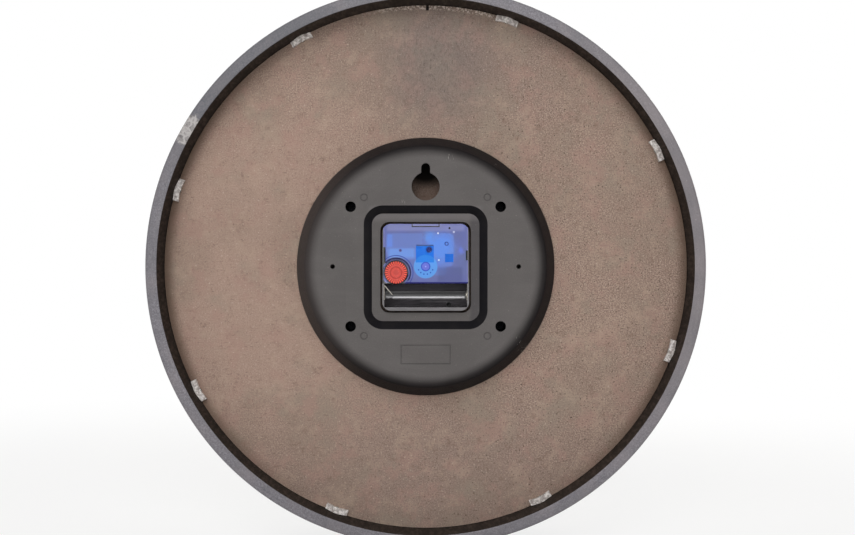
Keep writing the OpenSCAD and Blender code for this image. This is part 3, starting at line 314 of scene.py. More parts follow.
def spark_textured_abs():
    """ABS from a mould with sparked flats and polished slopes: the flats look grey, the slopes black, partly
    from the finish and partly as painted shade where faces turn away from the back.
    """
    material, tree, shader = material_for("spark_textured_abs", Specular_IOR_Level=0.04)
    here = from_centre(tree)
    reach = around(tree)[1]
    # Flat faces inside the shoulder, by how squarely they face back, get the grey; faces turned away get
    # painted shade as well as the polished black
    normal = add(tree, "NewGeometry", out="Normal")
    facing = add(tree, "Math", [add(tree, "SeparateXYZ", [normal], out="Y")], operation="ABSOLUTE")
    flat = add(tree, "MapRange", [facing, 0.8, 0.995], interpolation_type="SMOOTHSTEP")
    inside = add(tree, "MapRange", [reach, SHOULDER_BLACK, SHOULDER_GREY], interpolation_type="SMOOTHSTEP")
    flat = add(tree, "Math", [flat, inside], operation="MULTIPLY")
    spark = mottle(tree, here, 0.7 * MM, 0.25, 0.75, 1, 4, 0.7)
    grey = add(tree, "Mix", {FACTOR: spark, BELOW: "#5e5b5a", ABOVE: "#686463"}, out=MIXED,
               data_type="RGBA")
    # Fine scratches all over, and deeper ones in a few places
    scratch = add(tree, "Mapping", {"Vector": here, "Rotation": (0, radians(35), 0), "Scale": (1, 1, 7)})
    scratch = mottle(tree, scratch, 2.5 * MM, 0.68, 0.72, 0.3, 1, 0.4)
    scraped = add(tree, "Mapping", {"Vector": here, "Rotation": (0, radians(-40), 0), "Scale": (1, 1, 0.2)})
    scraped = mottle(tree, scraped, 1.1 * MM, 0.6, 0.68, 0.7, 2, 0.6)
    places = 0
    for x, y, size in SCRAPES:
        near = disc(tree, x, y, size, size * 0.4)
        places = add(tree, "Math", [places, near], operation="MAXIMUM")
    scraped = add(tree, "Math", [scraped, places], operation="MULTIPLY")
    # Rings that the ejector pins left beside the screws, and painted shade on the walls of the screw wells
    rings = 0
    well_shade = 0
    for side_x in (1, -1):
        for side_y in (1, -1):
            well = disc(tree, WELL_X * side_x, WELL_Y * side_y, 3.5, 3.25)
            well_shade = add(tree, "Math", [well_shade, well], operation="ADD")
            ring = hoop(tree, EJECTOR_X * side_x, EJECTOR_Y * side_y, 2.7, 2, 0.4)
            rings = add(tree, "Math", [rings, ring], operation="ADD")
    # Painted shade round the two small vent holes, wider than the holes
    vent_shade = [disc(tree, side * VENT_X, 0, 1.7, 1.3) for side in (1, -1)]
    vent_shade = add(tree, "Math", vent_shade, operation="ADD")
    streaks = from_centre(tree, (0.25, 1, 1))
    grey = coats(tree, shader, grey,
                 (mottle(tree, here, 35 * MM, 0.35, 0.65, 0.4), "#5a5756"),
                 (rings, "#403d3d", 0.55),
                 (mottle(tree, streaks, 9 * MM, 0.45, 0.7, 0.25), "#6e6a69"),
                 (scratch, "#807c7a"),
                 # The movement's ledge: lighter along the top, darker on the right as seen from behind
                 (window(tree, -36.5, -29, -36, 34, 1.5), "#3d3b42", 0.4),
                 (window(tree, -36, 36, 30, 38.5, 2), "#878284", 0.3),
                 (mottle(tree, here, 1.2 * MM, 0.73, 0.77, 0.5, 1), "#8e8a86"))
    # Slopes: painted light where the shoulder begins to face back, and painted light on the left as seen
    # from behind
    shoulder_light = add(tree, "MapRange", [facing, 0.4, 0.95], interpolation_type="SMOOTHSTEP")
    shoulder_light = add(tree, "Math", [shoulder_light, add(tree, "MapRange", [reach, 60 * MM, 64 * MM])],
                    operation="MULTIPLY")
    dark = add(tree, "Mix", {FACTOR: shoulder_light, BELOW: "#19181b", ABOVE: "#302d2d"}, out=MIXED,
               data_type="RGBA")
    left_light = add(tree, "SeparateXYZ", [here], out="X")
    left_light = add(tree, "MapRange", [left_light, 30 * MM, 85 * MM, 0, 0.8], interpolation_type="SMOOTHSTEP")
    coats(tree, shader, dark, (mottle(tree, here, 12 * MM, 0.4, 0.7, 0.4), "#242222"),
          # Painted light on the left slope, the grey flats, painted shade at the vent mouths and in the
          # screw wells, and scrapes
          (left_light, "#484342"), (flat, grey), (vent_shade, "#0b0a0a"), (well_shade, "#0a0909"), (scraped, "#b0aba6"))
    add(tree, "MapRange", [flat, 0, 1, 0.35, 0.62], into=shader.inputs["Roughness"])
    add(tree, "Bump", {"Height": spark, "Distance": 0.02 * MM}, into=shader.inputs["Normal"])
    return material


def black_styrene():
    """Polystyrene, glossy from a polished mould: nearly black, but grey where its outer faces are worn."""
    material, tree, shader = material_for("black_styrene", Specular_IOR_Level=0.5)
    here = from_centre(tree)
    flow = mottle(tree, from_centre(tree, (0.3, 1, 1)), 2.2 * MM, 0.25, 0.75)
    depth = around(tree)[2]
    outer = add(tree, "MapRange", [depth, case_high.y - 0.3 * MM, case_high.y - 0.1 * MM])
    outer = add(tree, "Math", [outer, window(tree, -28, 28, -40, BAY_TOP)], operation="MULTIPLY")
    rubbed_grey = add(tree, "Mix", {FACTOR: flow, BELOW: "#575456", ABOVE: "#676467"}, out=MIXED,
                      data_type="RGBA")
    # In the bay: a painted highlight along the trough, painted shade above it, the step under the lid and
    # painted shade in a small hole
    trough_highlight = window(tree, -25.5, 25.5, -20.6, -19.7)
    deep = window(tree, -25.5, 25.5, -19.7, -16.8, 0.5)
    step = window(tree, -27, 27, BAY_TOP - 4.6, BAY_TOP, 0.3)
    hole_shade = disc(tree, -15.2, -25, 1.9, 1.5)
    # The catch, with blue light from the lid painted on it
    catch_blue_light = window(tree, -8.3, 8.3, LID_TOP - 1.3, LID_TOP + 2, 0.1)
    # The knob's well: blue light from the lid on its outer edge, and shade close to the knob
    well_lit = window(tree, -30, 27.2, BAY_TOP + 0.6, 20)
    well_lit = add(tree, "Math", [disc(tree, KNOB_X, KNOB_Y, 9.3, 9.1), well_lit], operation="MULTIPLY")
    well_dark = disc(tree, KNOB_X, KNOB_Y, 8.2, 7.8)
    # Painted shade above the trough and in the small hole, a painted highlight along the trough, and painted
    # blue light on the catch
    coats(tree, shader, "#323032", (flow, "#403d40"), (deep, "#0d0c0f", 0.8), (step, "#4c4a52", 0.6),
          (hole_shade, "#050506"), (mottle(tree, here, 0.9 * MM, 0.68, 0.74, 0.4, 2), "#6d6866"),
          (outer, rubbed_grey), (trough_highlight, "#cfcfd3"), (catch_blue_light, "#7176ae"), (well_lit, "#6e75bd"),
          (well_dark, "#101028"))
    gloss = add(tree, "MapRange", [mottle(tree, here, 6 * MM, 0, 1), 0, 1, 0.12, 0.3])
    add(tree, "Math", [gloss, hole_shade], operation="MAXIMUM", into=shader.inputs["Roughness"])
    add(tree, "Bump", {"Height": flow, "Distance": 0.03 * MM}, into=shader.inputs["Normal"])
    return material


# How much the lid's haze hides what lies behind: mostly, where it is lit up, and in its clear windows
HAZE, LIT_HAZE, CLEAR_HAZE = 0.47, 0.8, 0.6
# Marks round the lower half of the seconds wheel: their angles in degrees, and how far out they lie
MARK_TURNS = (205, 231, 257, 283, 309, 335)
MARK_R = 5


def wheel_marks(tree, outer, inner):
    """Mask of the seconds wheel's six small marks; radii in millimetres."""
    marks = 0
    for turn in MARK_TURNS:
        mark = disc(tree, MARK_R * cos(radians(turn)), MARK_R * sin(radians(turn)), outer, inner)
        marks = add(tree, "Math", [marks, mark], operation="MAXIMUM")
    return marks


def blue_clear_styrene():
    """Blue see-through polystyrene: hazy violet, strong blue where clear, and dark blue at its lower end."""
    material, tree, shader = material_for("blue_clear_styrene", Roughness=0.16, Specular_IOR_Level=0.2)
    here = from_centre(tree)
    polished = add(tree, "Math", [window(tree, -5.3, 6.3, 2.7, 13.6), window(tree, -17.9, -12.5, 2.8, 8.2)],
                   operation="MAXIMUM")
    over_wheel = disc(tree, 0, 0, 8, 7.2)
    # The haze is lit up where pale pieces lie close behind it, and dull over the coil and at the lower right
    glows = [
        (disc(tree, -9.5, 12, 15, 5, 2), 0.8, "#5f9cff"),
        (disc(tree, -2, 19.5, 7, 2, 2), 0.6, "#5fa2ff"),
        (disc(tree, -22.7, 10.9, 4.6, 1.2, 2), 0.6, "#6c82fa"),
        (window(tree, 7, 24, 5.5, 12, 1.6), 0.65, "#78adfb"),
        (window(tree, 21, 25, 12.5, 21, 0.9), 0.6, "#6a9cff"),
        (window(tree, -24, -7.5, -10, 0, 1.5), 0.6, "#494f80"),
        (window(tree, -25, 25, 23, 27, 1.2), 0.35, "#b6b7e2"),
        (window(tree, 2.2, 21.5, 12.5, 21.4, 0.4), 0.75, "#7087cc"),
        (over_wheel, 0.8, "#5cb0ff")]
    share = HAZE
    tint = [(mottle(tree, here, 10 * MM, 0.3, 0.7), "#9299da")]
    for mask, most, code in glows:
        mask = add(tree, "Math", [mask, most], operation="MULTIPLY")
        share = add(tree, "Mix", {FACTOR: mask, FIRST: share, SECOND: LIT_HAZE})
        tint.append((mask, code))
    share = add(tree, "Mix", {FACTOR: polished, FIRST: share, SECOND: CLEAR_HAZE})
    lit = add(tree, "Math", [polished, over_wheel], operation="MULTIPLY")
    tint += [(polished, "#1c7dff"), (lit, "#3fa4ff", 0.6)]
    # The lid is cut away round the knob, with painted shade along that edge
    cut = window(tree, -30, 30, BAY_TOP + 1.5, 20, 1.2)
    cut = add(tree, "Math", [disc(tree, KNOB_X, KNOB_Y, 9.9, 9.6), cut], operation="MULTIPLY")
    inner = window(tree, LID_RIGHT + 0.7, LID_LEFT - 0.7, BAY_TOP - 5, LID_TOP - 0.6)
    above_end = window(tree, LID_RIGHT - 5, LID_LEFT + 5, BAY_TOP + 1, LID_TOP + 5)
    # Raised and pierced details, painted shade and painted highlights: each mask with the share of haze and
    # the colour there
    details = [
        # Shade along the window's top, the marks of the wheel, and the end of its arbor with a ring
        (window(tree, -5, 6, 13.2, 14.1, 0.2), 0.7, "#4c5c8c"),
        (wheel_marks(tree, 0.65, 0.3), 0.8, "#2757c0"),
        (disc(tree, 0, 0, 2.5, 2.2), 0.45, "#9a8cf0"),
        (hoop(tree, 0, 0, 3.2, 2.5), 0.7, "#4450c4"),
        (disc(tree, 0, 0, 0.7, 0.3), 0.6, "#c3b8ff"),
        # The guard round the knob, painted shade along the cut edge and a small moulded ring
        (hoop(tree, KNOB_X, KNOB_Y, 11.4, 10.8), 0.55, "#5560c0"),
        (cut, 0.9, "#17174c"),
        (hoop(tree, -13.5, 14.7, 1.5, 0.9), 0.6, "#39409c"),
        # A pierced hole, two dark pivots and three bright glints
        (disc(tree, -15.4, 24.8, 0.85, 0.5), 1.0, "#08080e"),
        (disc(tree, 16.3, 10.4, 1.3, 0.5), 0.6, "#6d5c9c"),
        (disc(tree, -2.3, 10.8, 2.4, 1.4), 0.5, "#3c3f8c"),
        (disc(tree, -8, 21.5, 0.8, 0.3), 0.9, "#eef0ff"),
        (disc(tree, -18.2, 22.3, 0.9, 0.3), 0.8, "#dde0ff"),
        (disc(tree, -8.5, 4.2, 0.8, 0.3), 0.9, "#e2f0ff"),
        # Painted highlights along the sides and top, and a dark blue lower edge
        (add(tree, "Math", [1, inner], operation="SUBTRACT"), 0.55, "#a3a4e6"),
        (add(tree, "Math", [1, above_end], operation="SUBTRACT"), 0.9, "#121266")]
    for mask, most, above in details:
        share = add(tree, "Mix", {FACTOR: mask, FIRST: share, SECOND: most})
        tint.append((mask, above))
    coats(tree, shader, "#9299e8", *tint)
    add(tree, "Bump", {"Height": mottle(tree, here, 9 * MM, 0.2, 0.8, 1, 1), "Distance": 0.2 * MM},
        into=shader.inputs["Normal"])
    clear = add(tree, "BsdfTransparent", ["#7ec9ff"])
    add(tree, "MixShader", [share, clear, shader.outputs[0]],
        into=tree.nodes["Material Output"].inputs["Surface"])
    return material


def clear_lid_underside():
    """The lid's inner face: polished, so it only lets the light through."""
    material, tree, shader = material_for("clear_lid_underside", Roughness=0.1, Alpha=0.04)
    here = from_centre(tree)
    coats(tree, shader, "#8ea2f0", (mottle(tree, here, 8 * MM, 0.3, 0.7), "#a2b2f4"))
    return material


def red_acetal():
    """Acetal, moulded in red: waxy, with a soft sheen, painted light on the tops of the knurl's ridges and
    painted shade between them.
    """
    material, tree, shader = material_for("red_acetal", Roughness=0.42, Specular_IOR_Level=0.35)
    here = from_centre(tree)
    reach, depth = around(tree, from_axis(KNOB_X, KNOB_Y, 0))[1:]
    # Painted light on the ridges' tops, and painted shade between them near the knob's edge
    crest_light = add(tree, "MapRange", [depth, knob_high.y, knob_high.y + 0.2 * MM])
    rim = add(tree, "MapRange", [reach, 5.2 * MM, 5.6 * MM], interpolation_type="SMOOTHSTEP")
    groove_shade = add(tree, "Math", [add(tree, "Math", [1, crest_light], operation="SUBTRACT"), rim],
                 operation="MULTIPLY")
    # Turned ring and dimple in the middle
    ring = hoop(tree, KNOB_X, KNOB_Y, 4.2, 3.5, 0.4)
    dimple = disc(tree, KNOB_X, KNOB_Y, 2.2, 1.2)
    coats(tree, shader, "#cb3f34", (mottle(tree, here, 1.6 * MM, 0.3, 0.7, 0.7), "#d65046"),
          (ring, "#a02c25", 0.7), (dimple, "#a8342e", 0.5), (groove_shade, "#8a1f19"), (crest_light, "#fa5c48"),
          (mottle(tree, here, 0.7 * MM, 0.64, 0.74, 0.5, 2), "#e99088"))
    add(tree, "Bump", {"Height": ring, "Distance": 0.2 * MM}, into=shader.inputs["Normal"])
    return material


def clear_vinyl():
    """Clear vinyl strip, cut and scuffed: see-through, and milky where it was bent and rubbed."""
    material, tree, shader = material_for("clear_vinyl", Roughness=0.28, Specular_IOR_Level=0.5)
    here = from_centre(tree)
    scuff = mottle(tree, here, 3 * MM, 0.35, 0.65, 1, 4, 0.7)
    coats(tree, shader, "#b3a8a2", (scuff, "#f6f0ec"))
    add(tree, "MapRange", [scuff, 0, 1, 0.7, 1], into=shader.inputs["Alpha"])
    add(tree, "Bump", {"Height": scuff, "Distance": 0.1 * MM}, into=shader.inputs["Normal"])
    return material


def two_sided_card():
    """Dial card: coated white in front, and painted near black behind as shade seen through the board's
    notch.
    """
    material, tree, shader = material_for("two_sided_card", Roughness=0.65, Specular_IOR_Level=0.25)
    here = from_centre(tree)
    normal = add(tree, "NewGeometry", out="Normal")
    # Painted shade on the card's back, which faces the wall
    behind = add(tree, "MapRange", [add(tree, "SeparateXYZ", [normal], out="Y"), 0.2, 0.6])
    coats(tree, shader, "#ece9e2", (mottle(tree, here, 1.8 * MM, 0.25, 0.75), "#f5f3ed"),
          (behind, "#1d1a18"))
    add(tree, "Bump", {"Height": mottle(tree, here, 0.9 * MM, 0.2, 0.8), "Distance": 0.01 * MM},
        into=shader.inputs["Normal"])
    return material


def pierced_blue_acetal():
    """Acetal in pale blue, waxy; the seconds wheel made of it has six small dark marks round one half."""
    material, tree, shader = material_for("pierced_blue_acetal", Roughness=0.4, Specular_IOR_Level=0.4)
    here = from_centre(tree)
    marks = wheel_marks(tree, 0.7, 0.4)
    rim = add(tree, "MapRange", [around(tree)[1], 5.8 * MM, 6.1 * MM])
    coats(tree, shader, "#a4d6f6", (mottle(tree, here, 1.5 * MM, 0.25, 0.75), "#b8e0fb"),
          (rim, "#d3ecfd"), (marks, "#16306c"))
    add(tree, "Bump", {"Height": marks, "Distance": 0.2 * MM}, into=shader.inputs["Normal"])
    return material


def worked_metal(name, base, worn, size, rough, stretch=(1, 1, 1)):
    """Metal with fine tool or plating marks that vary its tone and gloss; size in millimetres."""
    material, tree, shader = material_for(name, Metallic=1.0)
    mark = mottle(tree, from_centre(tree, stretch), size * MM, 0.25, 0.75, 1, 3, 0.6)
    coats(tree, shader, base, (mark, worn))
    add(tree, "MapRange", [mark, 0, 1, rough - 0.07, rough + 0.07], into=shader.inputs["Roughness"])
    add(tree, "Bump", {"Height": mark, "Distance": 0.01 * MM}, into=shader.inputs["Normal"])
    return material


def moulded(name, base, other, size=1.5, rough=0.5, specular=0.4, deep=0.02):
    """Moulded, pressed or coated piece with a faint mottle; size and depth in millimetres."""
    material, tree, shader = material_for(name, Roughness=rough, Specular_IOR_Level=specular)
    tone = mottle(tree, from_centre(tree), size * MM, 0.25, 0.75)
    coats(tree, shader, base, (tone, other))
    add(tree, "Bump", {"Height": tone, "Distance": deep * MM}, into=shader.inputs["Normal"])
    return material


def taped_winding():
    """Fine copper wire under pale film tape; its turns are drawn as soft bars 2.5 mm apart, so they show."""
    material, tree, shader = material_for("taped_winding", Roughness=0.35)
    # The wave's phase is 20 radians to a unit, so a radian in 0.4 mm makes a bar in 2.5 mm
    turns = add(tree, "TexWave", {"Vector": from_centre(tree), "Scale": 1 / (0.4 * MM) / 20,
                                  "Distortion": 0.4}, out="Fac", bands_direction="X", wave_type="BANDS")
    coats(tree, shader, "#a98f9a", (turns, "#c4b0b8"))
    add(tree, "Bump", {"Height": turns, "Distance": 0.1 * MM}, into=shader.inputs["Normal"])
    return material


def float_glass():
    """Soda-lime float glass, flat and clear with a faint grey-green tint."""
    material, tree, shader = material_for("float_glass", Roughness=0.02, Alpha=0.07, IOR=1.5)
    coats(tree, shader, "#1c2422", (mottle(tree, from_centre(tree), 60 * MM, 0.3, 0.7), "#2a3230"))
    return material


rim_paint = worn_rim_paint()
rim_wall = stained_rim_wall()
cover_plastic = spark_textured_abs()
case_plastic = black_styrene()
lid_plastic = blue_clear_styrene()
lid_inside = clear_lid_underside()
knob_plastic = red_acetal()
clip_plastic = clear_vinyl()
# Satin black and satin red paint on sheet aluminium: an even tone with a soft sheen
black_paint = moulded("black_hand_paint", "#121214", "#1e1e21", 1.2, 0.35, 0.5, 0.01)
red_paint = moulded("red_hand_paint", "#a01b20", "#b82a2d", 1.2, 0.35, 0.5, 0.01)

FINISHES = {
    rim_paint: ["case_rim"], cover_plastic: ["hanger_cover"], case_plastic: ["movement_case"],
    lid_plastic: ["movement_lid"], knob_plastic: ["setting_knob"], clip_plastic: ["retaining_clips"],
    pressed_hardboard(): ["backing_board"],
    float_glass(): ["front_glass"],
    taped_winding(): ["coil_winding"],
    black_paint: ["hour_hand", "minute_hand"],
    red_paint: ["second_hand"],
    # Zinc plate on steel: pale, bright and slightly cloudy
    worked_metal("zinc_plated_steel", "#c9c9c7", "#e4e3e0", 0.6, 0.25): ["clip_brads"],
    # Black oxide on steel: dark with an oily sheen
    worked_metal("black_oxide_steel", "#08080a", "#18181a", 0.5, 0.5): ["cover_screws"],
    # Nickel plate on spring steel: bright, warm and drawn lengthwise
    worked_metal("nickel_spring_steel", "#8d8880", "#b8b3aa", 0.5, 0.4): [
        "negative_contact", "positive_contact"],
    # Drawn steel: grey with fine rings
    worked_metal("drawn_steel", "#9da0a4", "#c8cbce", 0.4, 0.3, (1, 8, 1)): ["seconds_arbor"],
    # Nickel silver can, soft and satin
    worked_metal("crystal_can", "#a9acb0", "#d0d2d4", 0.7, 0.3): ["quartz_crystal"],
    # Nickel-iron sheet, stamped, annealed and bright
    worked_metal("stamped_iron", "#b4b7ba", "#d3d5d6", 0.8, 0.45): ["stator_plate"],
    # Brass turned on a lathe: yellow with fine rings
    worked_metal("turned_brass", "#b08a3c", "#e0bd6a", 0.5, 0.28, (1, 6, 1)): [
        "minute_pipe", "centre_bushing", "nut_washer", "hex_nut", "minute_nut"],
    # Sintered ferrite: dark grey, dull and gritty
    moulded("sintered_ferrite", "#2e2e31", "#47474b", 0.3, 0.7): ["rotor_magnet"],
    # Acetal in its natural white: waxy, slightly warm
    moulded("natural_acetal", "#e6e8e9", "#f4f5f4", 2, 0.45): [
        "train_bridge", "coil_bobbin", "intermediate_wheel", "third_wheel", "centre_wheel",
        "motion_wheel", "hour_wheel"],
    pierced_blue_acetal(): ["seconds_wheel"],
    # Acetal in dark pink for the motor's pinion
    moulded("pink_acetal", "#b0485a", "#c45c6c", 0.8, 0.45): ["rotor_pinion"],
    # Epoxy laminate under green lacquer
    moulded("lacquered_laminate", "#2f4a2c", "#46663d", 0.8, 0.4): ["circuit_board"],
    # Grey epoxy, matt and fine
    moulded("grey_epoxy", "#9aa2ae", "#a9b0ba", 0.4, 0.6): ["chip"],
    # White card, pressed, with a faint fibre
    moulded("white_card", "#dedbd4", "#efece6", 0.9, 0.8, 0.2, 0.03): ["spacer_ring"],
    two_sided_card(): ["dial"],
    # Nitrile rubber: black and dull
    moulded("nitrile_rubber", "#1a1a1c", "#2a2a2c", 0.7, 0.8, 0.2, 0.04): ["rubber_gasket"],
}

for material, names in FINISHES.items():
    for name in names:
        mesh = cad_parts[name].data
        mesh.materials.clear()
        mesh.materials.append(material)


# New pieces

def shown(name, form, body, slot, *materials, smooth=40):
    """Makes a finished bmesh an object that rides on a body, smooth but for edges sharper than an angle."""
    mesh = bpy.data.meshes.new(name)
    form.to_mesh(mesh)
    form.free()
    for material in materials:
        mesh.materials.append(material)
    mesh.polygons.foreach_set("use_smooth", [True] * len(mesh.polygons))
    mesh.set_sharp_from_angle(angle=radians(smooth))
    made = bpy.data.objects.new(name, mesh)
    bpy.context.scene.collection.objects.link(made)
    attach(made, body)
    return made


def rounded_copy(node, body, slot, width, *materials, segments=2):
    """Copy of a CAD piece, merged, with its sharp edges rounded, which stands for the piece."""
    form = bmesh.new()
    form.from_mesh(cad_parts[node].data)
    bmesh.ops.remove_doubles(form, verts=form.verts, dist=1e-6)
    bmesh.ops.dissolve_limit(form, angle_limit=radians(0.5), verts=form.verts, edges=form.edges)
    made = shown("shaped_" + node, form, body, slot, *materials)
    bevel = made.modifiers.new("rounding", "BEVEL")
    bevel.width = width
    bevel.segments = segments
    bevel.limit_method = "ANGLE"
    bevel.angle_limit = radians(38)
    bevel.harden_normals = True
    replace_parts(made, node)
    return made


# Rim: radii of its inner wall and of the lip in front of the glass, and how far back the lip reaches
wall_r = board_r + 0.5 * MM
lip_r = wall_r - 7.5 * MM
lip_y = rim_low.y + 3 * MM
# Rounding of its corners, from the inner back one outwards and round to the lip
RIM_ROUNDS = (0.5 * MM, 1.8 * MM, 12 * MM, 0.8 * MM)


def turned_rim():
    """The rim's section with rounded corners, turned round the axis; its inner wall has its own finish."""
    form = bmesh.new()
    corners = [(wall_r, rim_high.y), (rim_r, rim_high.y), (rim_r, rim_low.y), (lip_r, rim_low.y),
               (lip_r, lip_y), (wall_r, lip_y)]
    points = [form.verts.new((axis_at.x + r, y, axis_at.z)) for r, y in corners]
    for i in range(len(points)):
        form.edges.new((points[i - 1], points[i]))
    for point, width in zip(points, RIM_ROUNDS):
        bmesh.ops.bevel(form, geom=[point], offset=width, segments=8, profile=0.5,
                        affect="VERTICES", material=-1)
    bmesh.ops.spin(form, geom=form.verts[:] + form.edges[:], cent=axis_at, axis=(0, 1, 0),
                   angle=radians(360), steps=256, use_merge=True)
    bmesh.ops.remove_doubles(form, verts=form.verts, dist=1e-6)
    bmesh.ops.recalc_face_normals(form, faces=form.faces)
    for face in form.faces:
        middle = face.calc_center_median() - axis_at
        if Vector((middle.x, middle.z)).length < wall_r + 0.1 * MM and middle.y > lip_y + MM:
            face.material_index = 1
    return form


# Ridges round the knob's face, coarser than the real ones so that they show: radius, length, width, height
RIDGES = 28
RIDGE_R, RIDGE_L, RIDGE_W, RIDGE_H = 6.3 * MM, 1.7 * MM, 0.75 * MM, 0.6 * MM


def knob_ridges():
    """Short rounded ridges that point outwards from the knob's middle."""
    form = bmesh.new()
    place = Matrix.Translation(from_axis(KNOB_X, KNOB_Y, knob_high.y))
    out = Matrix.Translation((0, 0, RIDGE_R))
    size = Matrix.Diagonal((RIDGE_W, RIDGE_H, RIDGE_L, 1))
    for ridge in range(RIDGES):
        turn = Matrix.Rotation(radians(360 * ridge / RIDGES), 4, "Y")
        bmesh.ops.create_cube(form, size=1, matrix=place @ turn @ out @ size)
    bmesh.ops.bevel(form, geom=form.edges[:], offset=0.15 * MM, segments=2, profile=0.5, affect="EDGES",
                    material=-1)
    return form


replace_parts(shown("turned_rim", turned_rim(), CASE, "rim_paint", rim_paint, rim_wall), "case_rim")

rounded_copy("hanger_cover", CASE, "grey_moulding", 0.35 * MM, cover_plastic)
rounded_copy("movement_case", CASE, "black_moulding", 0.15 * MM, case_plastic)
rounded_copy("setting_knob", "knob", "red_moulding", 0.12 * MM, knob_plastic)
shown("knob_ridges", knob_ridges(), "knob", "red_moulding", knob_plastic)
rounded_copy("retaining_clips", CASE, "clear_clip", 0.3 * MM, clip_plastic)
lid = rounded_copy("movement_lid", CASE, "blue_tint", 0.3 * MM, lid_plastic, lid_inside)
# The lid's inner face, which faces the dial
for face in lid.data.polygons:
    if face.normal.y < -0.5:
        face.material_index = 1
for hand, body, slot, material in (("hour_hand", "hours", "hand_black", black_paint),
                                   ("minute_hand", "minutes", "hand_black", black_paint),
                                   ("second_hand", "seconds", "hand_red", red_paint)):
    rounded_copy(hand, body, slot, 0.12 * MM, material)


# Printed dial: a minute track and plain numbers, raised by the thickness of the ink
ink = moulded("screen_printed_ink", "#151517", "#1f1f22", 1.2, 0.5, 0.4, 0.01)
INK = 0.06 * MM
TRACK_R = 158 * MM
TICK_LONG, TICK_SHORT = 8 * MM, 4.5 * MM
TICK_WIDE, TICK_THIN = 2.4 * MM, 0.9 * MM
NUMBER_R = 132 * MM
NUMBER_SIZE = 34 * MM


def minute_track():
    """Sixty printed bars, every fifth one longer and wider."""
    form = bmesh.new()
    for minute in range(60):
        long, wide = (TICK_SHORT, TICK_THIN) if minute % 5 else (TICK_LONG, TICK_WIDE)
        turn = Matrix.Rotation(radians(minute * 6), 4, "Y")
        place = Matrix.Translation(axis_at + Vector((0, dial_low.y - INK / 2, 0)))
        out = Matrix.Translation((0, 0, TRACK_R - long / 2))
        size = Matrix.Diagonal((wide, INK, long, 1))
        bmesh.ops.create_cube(form, size=1, matrix=place @ turn @ out @ size)
    return form


def dial_numbers():
    """Twelve upright numbers in a plain face."""
    form = bmesh.new()
    for hour in range(1, 13):
        text = bpy.data.curves.new("number", "FONT")
        text.body = str(hour)
        text.size = NUMBER_SIZE
        text.extrude = INK / 2
        text.align_x = "CENTER"
        text.align_y = "CENTER"
        drawn = bpy.data.objects.new("number", text)
        bpy.context.scene.collection.objects.link(drawn)
        mesh = bpy.data.meshes.new_from_object(drawn.evaluated_get(bpy.context.evaluated_depsgraph_get()))
        turn = radians(hour * 30)
        place = axis_at + Vector((sin(turn) * NUMBER_R, dial_low.y - INK / 2, cos(turn) * NUMBER_R))
        mesh.transform(Matrix.Translation(place) @ Matrix.Rotation(radians(90), 4, "X"))
        form.from_mesh(mesh)
        bpy.data.objects.remove(drawn)
        bpy.data.meshes.remove(mesh)
    bmesh.ops.remove_doubles(form, verts=form.verts, dist=1e-6)
    bmesh.ops.recalc_face_normals(form, faces=form.faces)
    return form


shown("minute_track", minute_track(), CASE, "dial_print", ink)
shown("dial_numbers", dial_numbers(), CASE, "dial_print", ink)


# Stage: pale floor, soft lamps and a camera square on to the back, as in the photograph

# The photograph's width in pixels, its scale at the rim's back face, and where its middle meets that face
PHOTO_W = 855
PIXELS_PER_M = 1560.9
SIGHT_X, SIGHT_Z = -1.2 * MM, -64.3 * MM
CAMERA_GAP = 750 * MM
SENSOR_W = 36
# How far from the clock the floor begins to whiten and is white, and its share of plain white close by
FLOOR_NEAR, FLOOR_FAR = 0.35, 1.0
FLOOR_GLOW = 0.7
WORLD_STRENGTH = 0.28
# Lamps: name, place, size and power
LAMPS = (("key_behind", (0.25, 1.25, centre.z + 0.75), 1.1, 10.8),
         ("fill_behind", (-0.15, 1.7, centre.z + 0.15), 1.6, 9.6),
         ("key_front", (-0.5, -1.7, centre.z + 0.7), 1.2, 29))


def seen_directly(tree):
    """1 for rays from the camera, and those that glossy or clear surfaces send on."""
    rays = [add(tree, "LightPath", out=name) for name in ("Is Camera Ray", "Is Glossy Ray",
                                                          "Is Transmission Ray")]
    first = add(tree, "Math", rays[:2], operation="MAXIMUM")
    return add(tree, "Math", [first, rays[2]], operation="MAXIMUM")


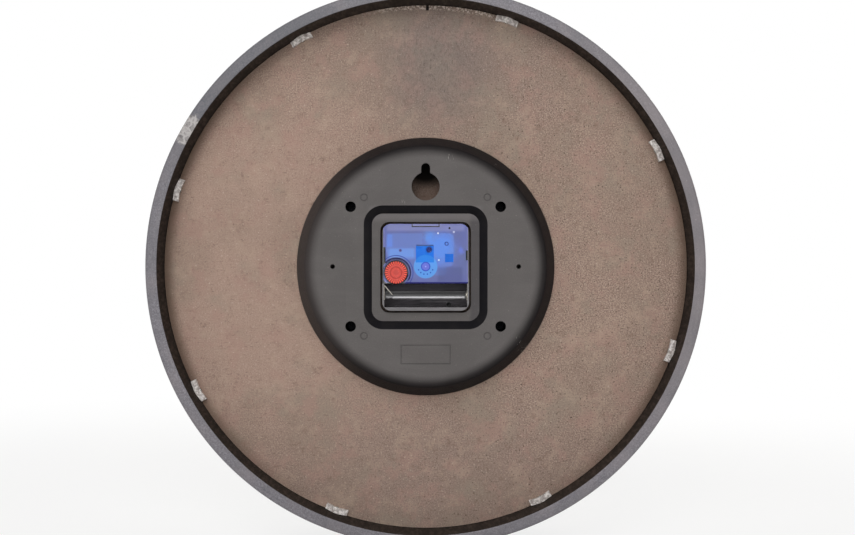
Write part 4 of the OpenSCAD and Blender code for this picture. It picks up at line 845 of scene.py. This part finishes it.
def stage_floor():
    """Pale matt floor, which keeps the clock's shadow near it and is white further off."""
    material, tree, shader = material_for("floor_white", Roughness=0.95, Specular_IOR_Level=0.0)
    coats(tree, shader, "#f2f1ef", (mottle(tree, from_centre(tree), 0.3, 0.3, 0.7), "#f5f4f2"))
    near = spot(tree, (centre.x, 0, rim_low.z), FLOOR_FAR, FLOOR_NEAR)
    far = add(tree, "MapRange", [near, 1, 0, FLOOR_GLOW, 1])
    share = add(tree, "Math", [seen_directly(tree), far], operation="MULTIPLY")
    mixed = add(tree, "MixShader", [share, shader.outputs[0], add(tree, "Emission", ["#ffffff", 1])])
    tree.links.new(mixed, tree.nodes["Material Output"].inputs["Surface"])
    form = bmesh.new()
    bmesh.ops.create_grid(form, x_segments=1, y_segments=1, size=8,
                          matrix=Matrix.Translation((centre.x, 0, rim_low.z - 0.2 * MM)))
    mesh = bpy.data.meshes.new("floor")
    form.to_mesh(mesh)
    form.free()
    mesh.materials.append(material)
    floor = bpy.data.objects.new("floor", mesh)
    bpy.context.scene.collection.objects.link(floor)


def lamp(name, place, size, power):
    """Soft square lamp that faces the clock's centre."""
    data = bpy.data.lights.new(name, "AREA")
    data.size = size
    data.energy = power
    made = bpy.data.objects.new(name, data)
    made.location = place
    made.rotation_euler = (centre - Vector(place)).to_track_quat("-Z", "Y").to_euler()
    bpy.context.scene.collection.objects.link(made)


def world_light():
    """Even pale light from all round, and plain white where nothing is in the way."""
    world = bpy.data.worlds.new("studio")
    world.use_nodes = True
    tree = world.node_tree
    tree.nodes.clear()
    dim = add(tree, "Background", ["#ffffff", WORLD_STRENGTH])
    white = add(tree, "Background", ["#ffffff", 1])
    add(tree, "OutputWorld", [add(tree, "MixShader", [seen_directly(tree), dim, white])])
    bpy.context.scene.world = world


def photo_camera():
    """Camera behind the clock, square on, at the photograph's scale and framing."""
    data = bpy.data.cameras.new("photo_camera")
    data.sensor_fit = "HORIZONTAL"
    data.sensor_width = SENSOR_W
    data.lens = SENSOR_W * PIXELS_PER_M * CAMERA_GAP / PHOTO_W
    data.clip_start = 0.01
    made = bpy.data.objects.new("photo_camera", data)
    made.location = (SIGHT_X, rim_high.y + CAMERA_GAP, SIGHT_Z)
    made.rotation_euler = (radians(90), 0, radians(180))
    bpy.context.scene.collection.objects.link(made)
    bpy.context.scene.camera = made


stage_floor()
world_light()
for name, place, size, power in LAMPS:
    lamp(name, place, size, power)
photo_camera()
bpy.context.scene.view_settings.view_transform = "Standard"
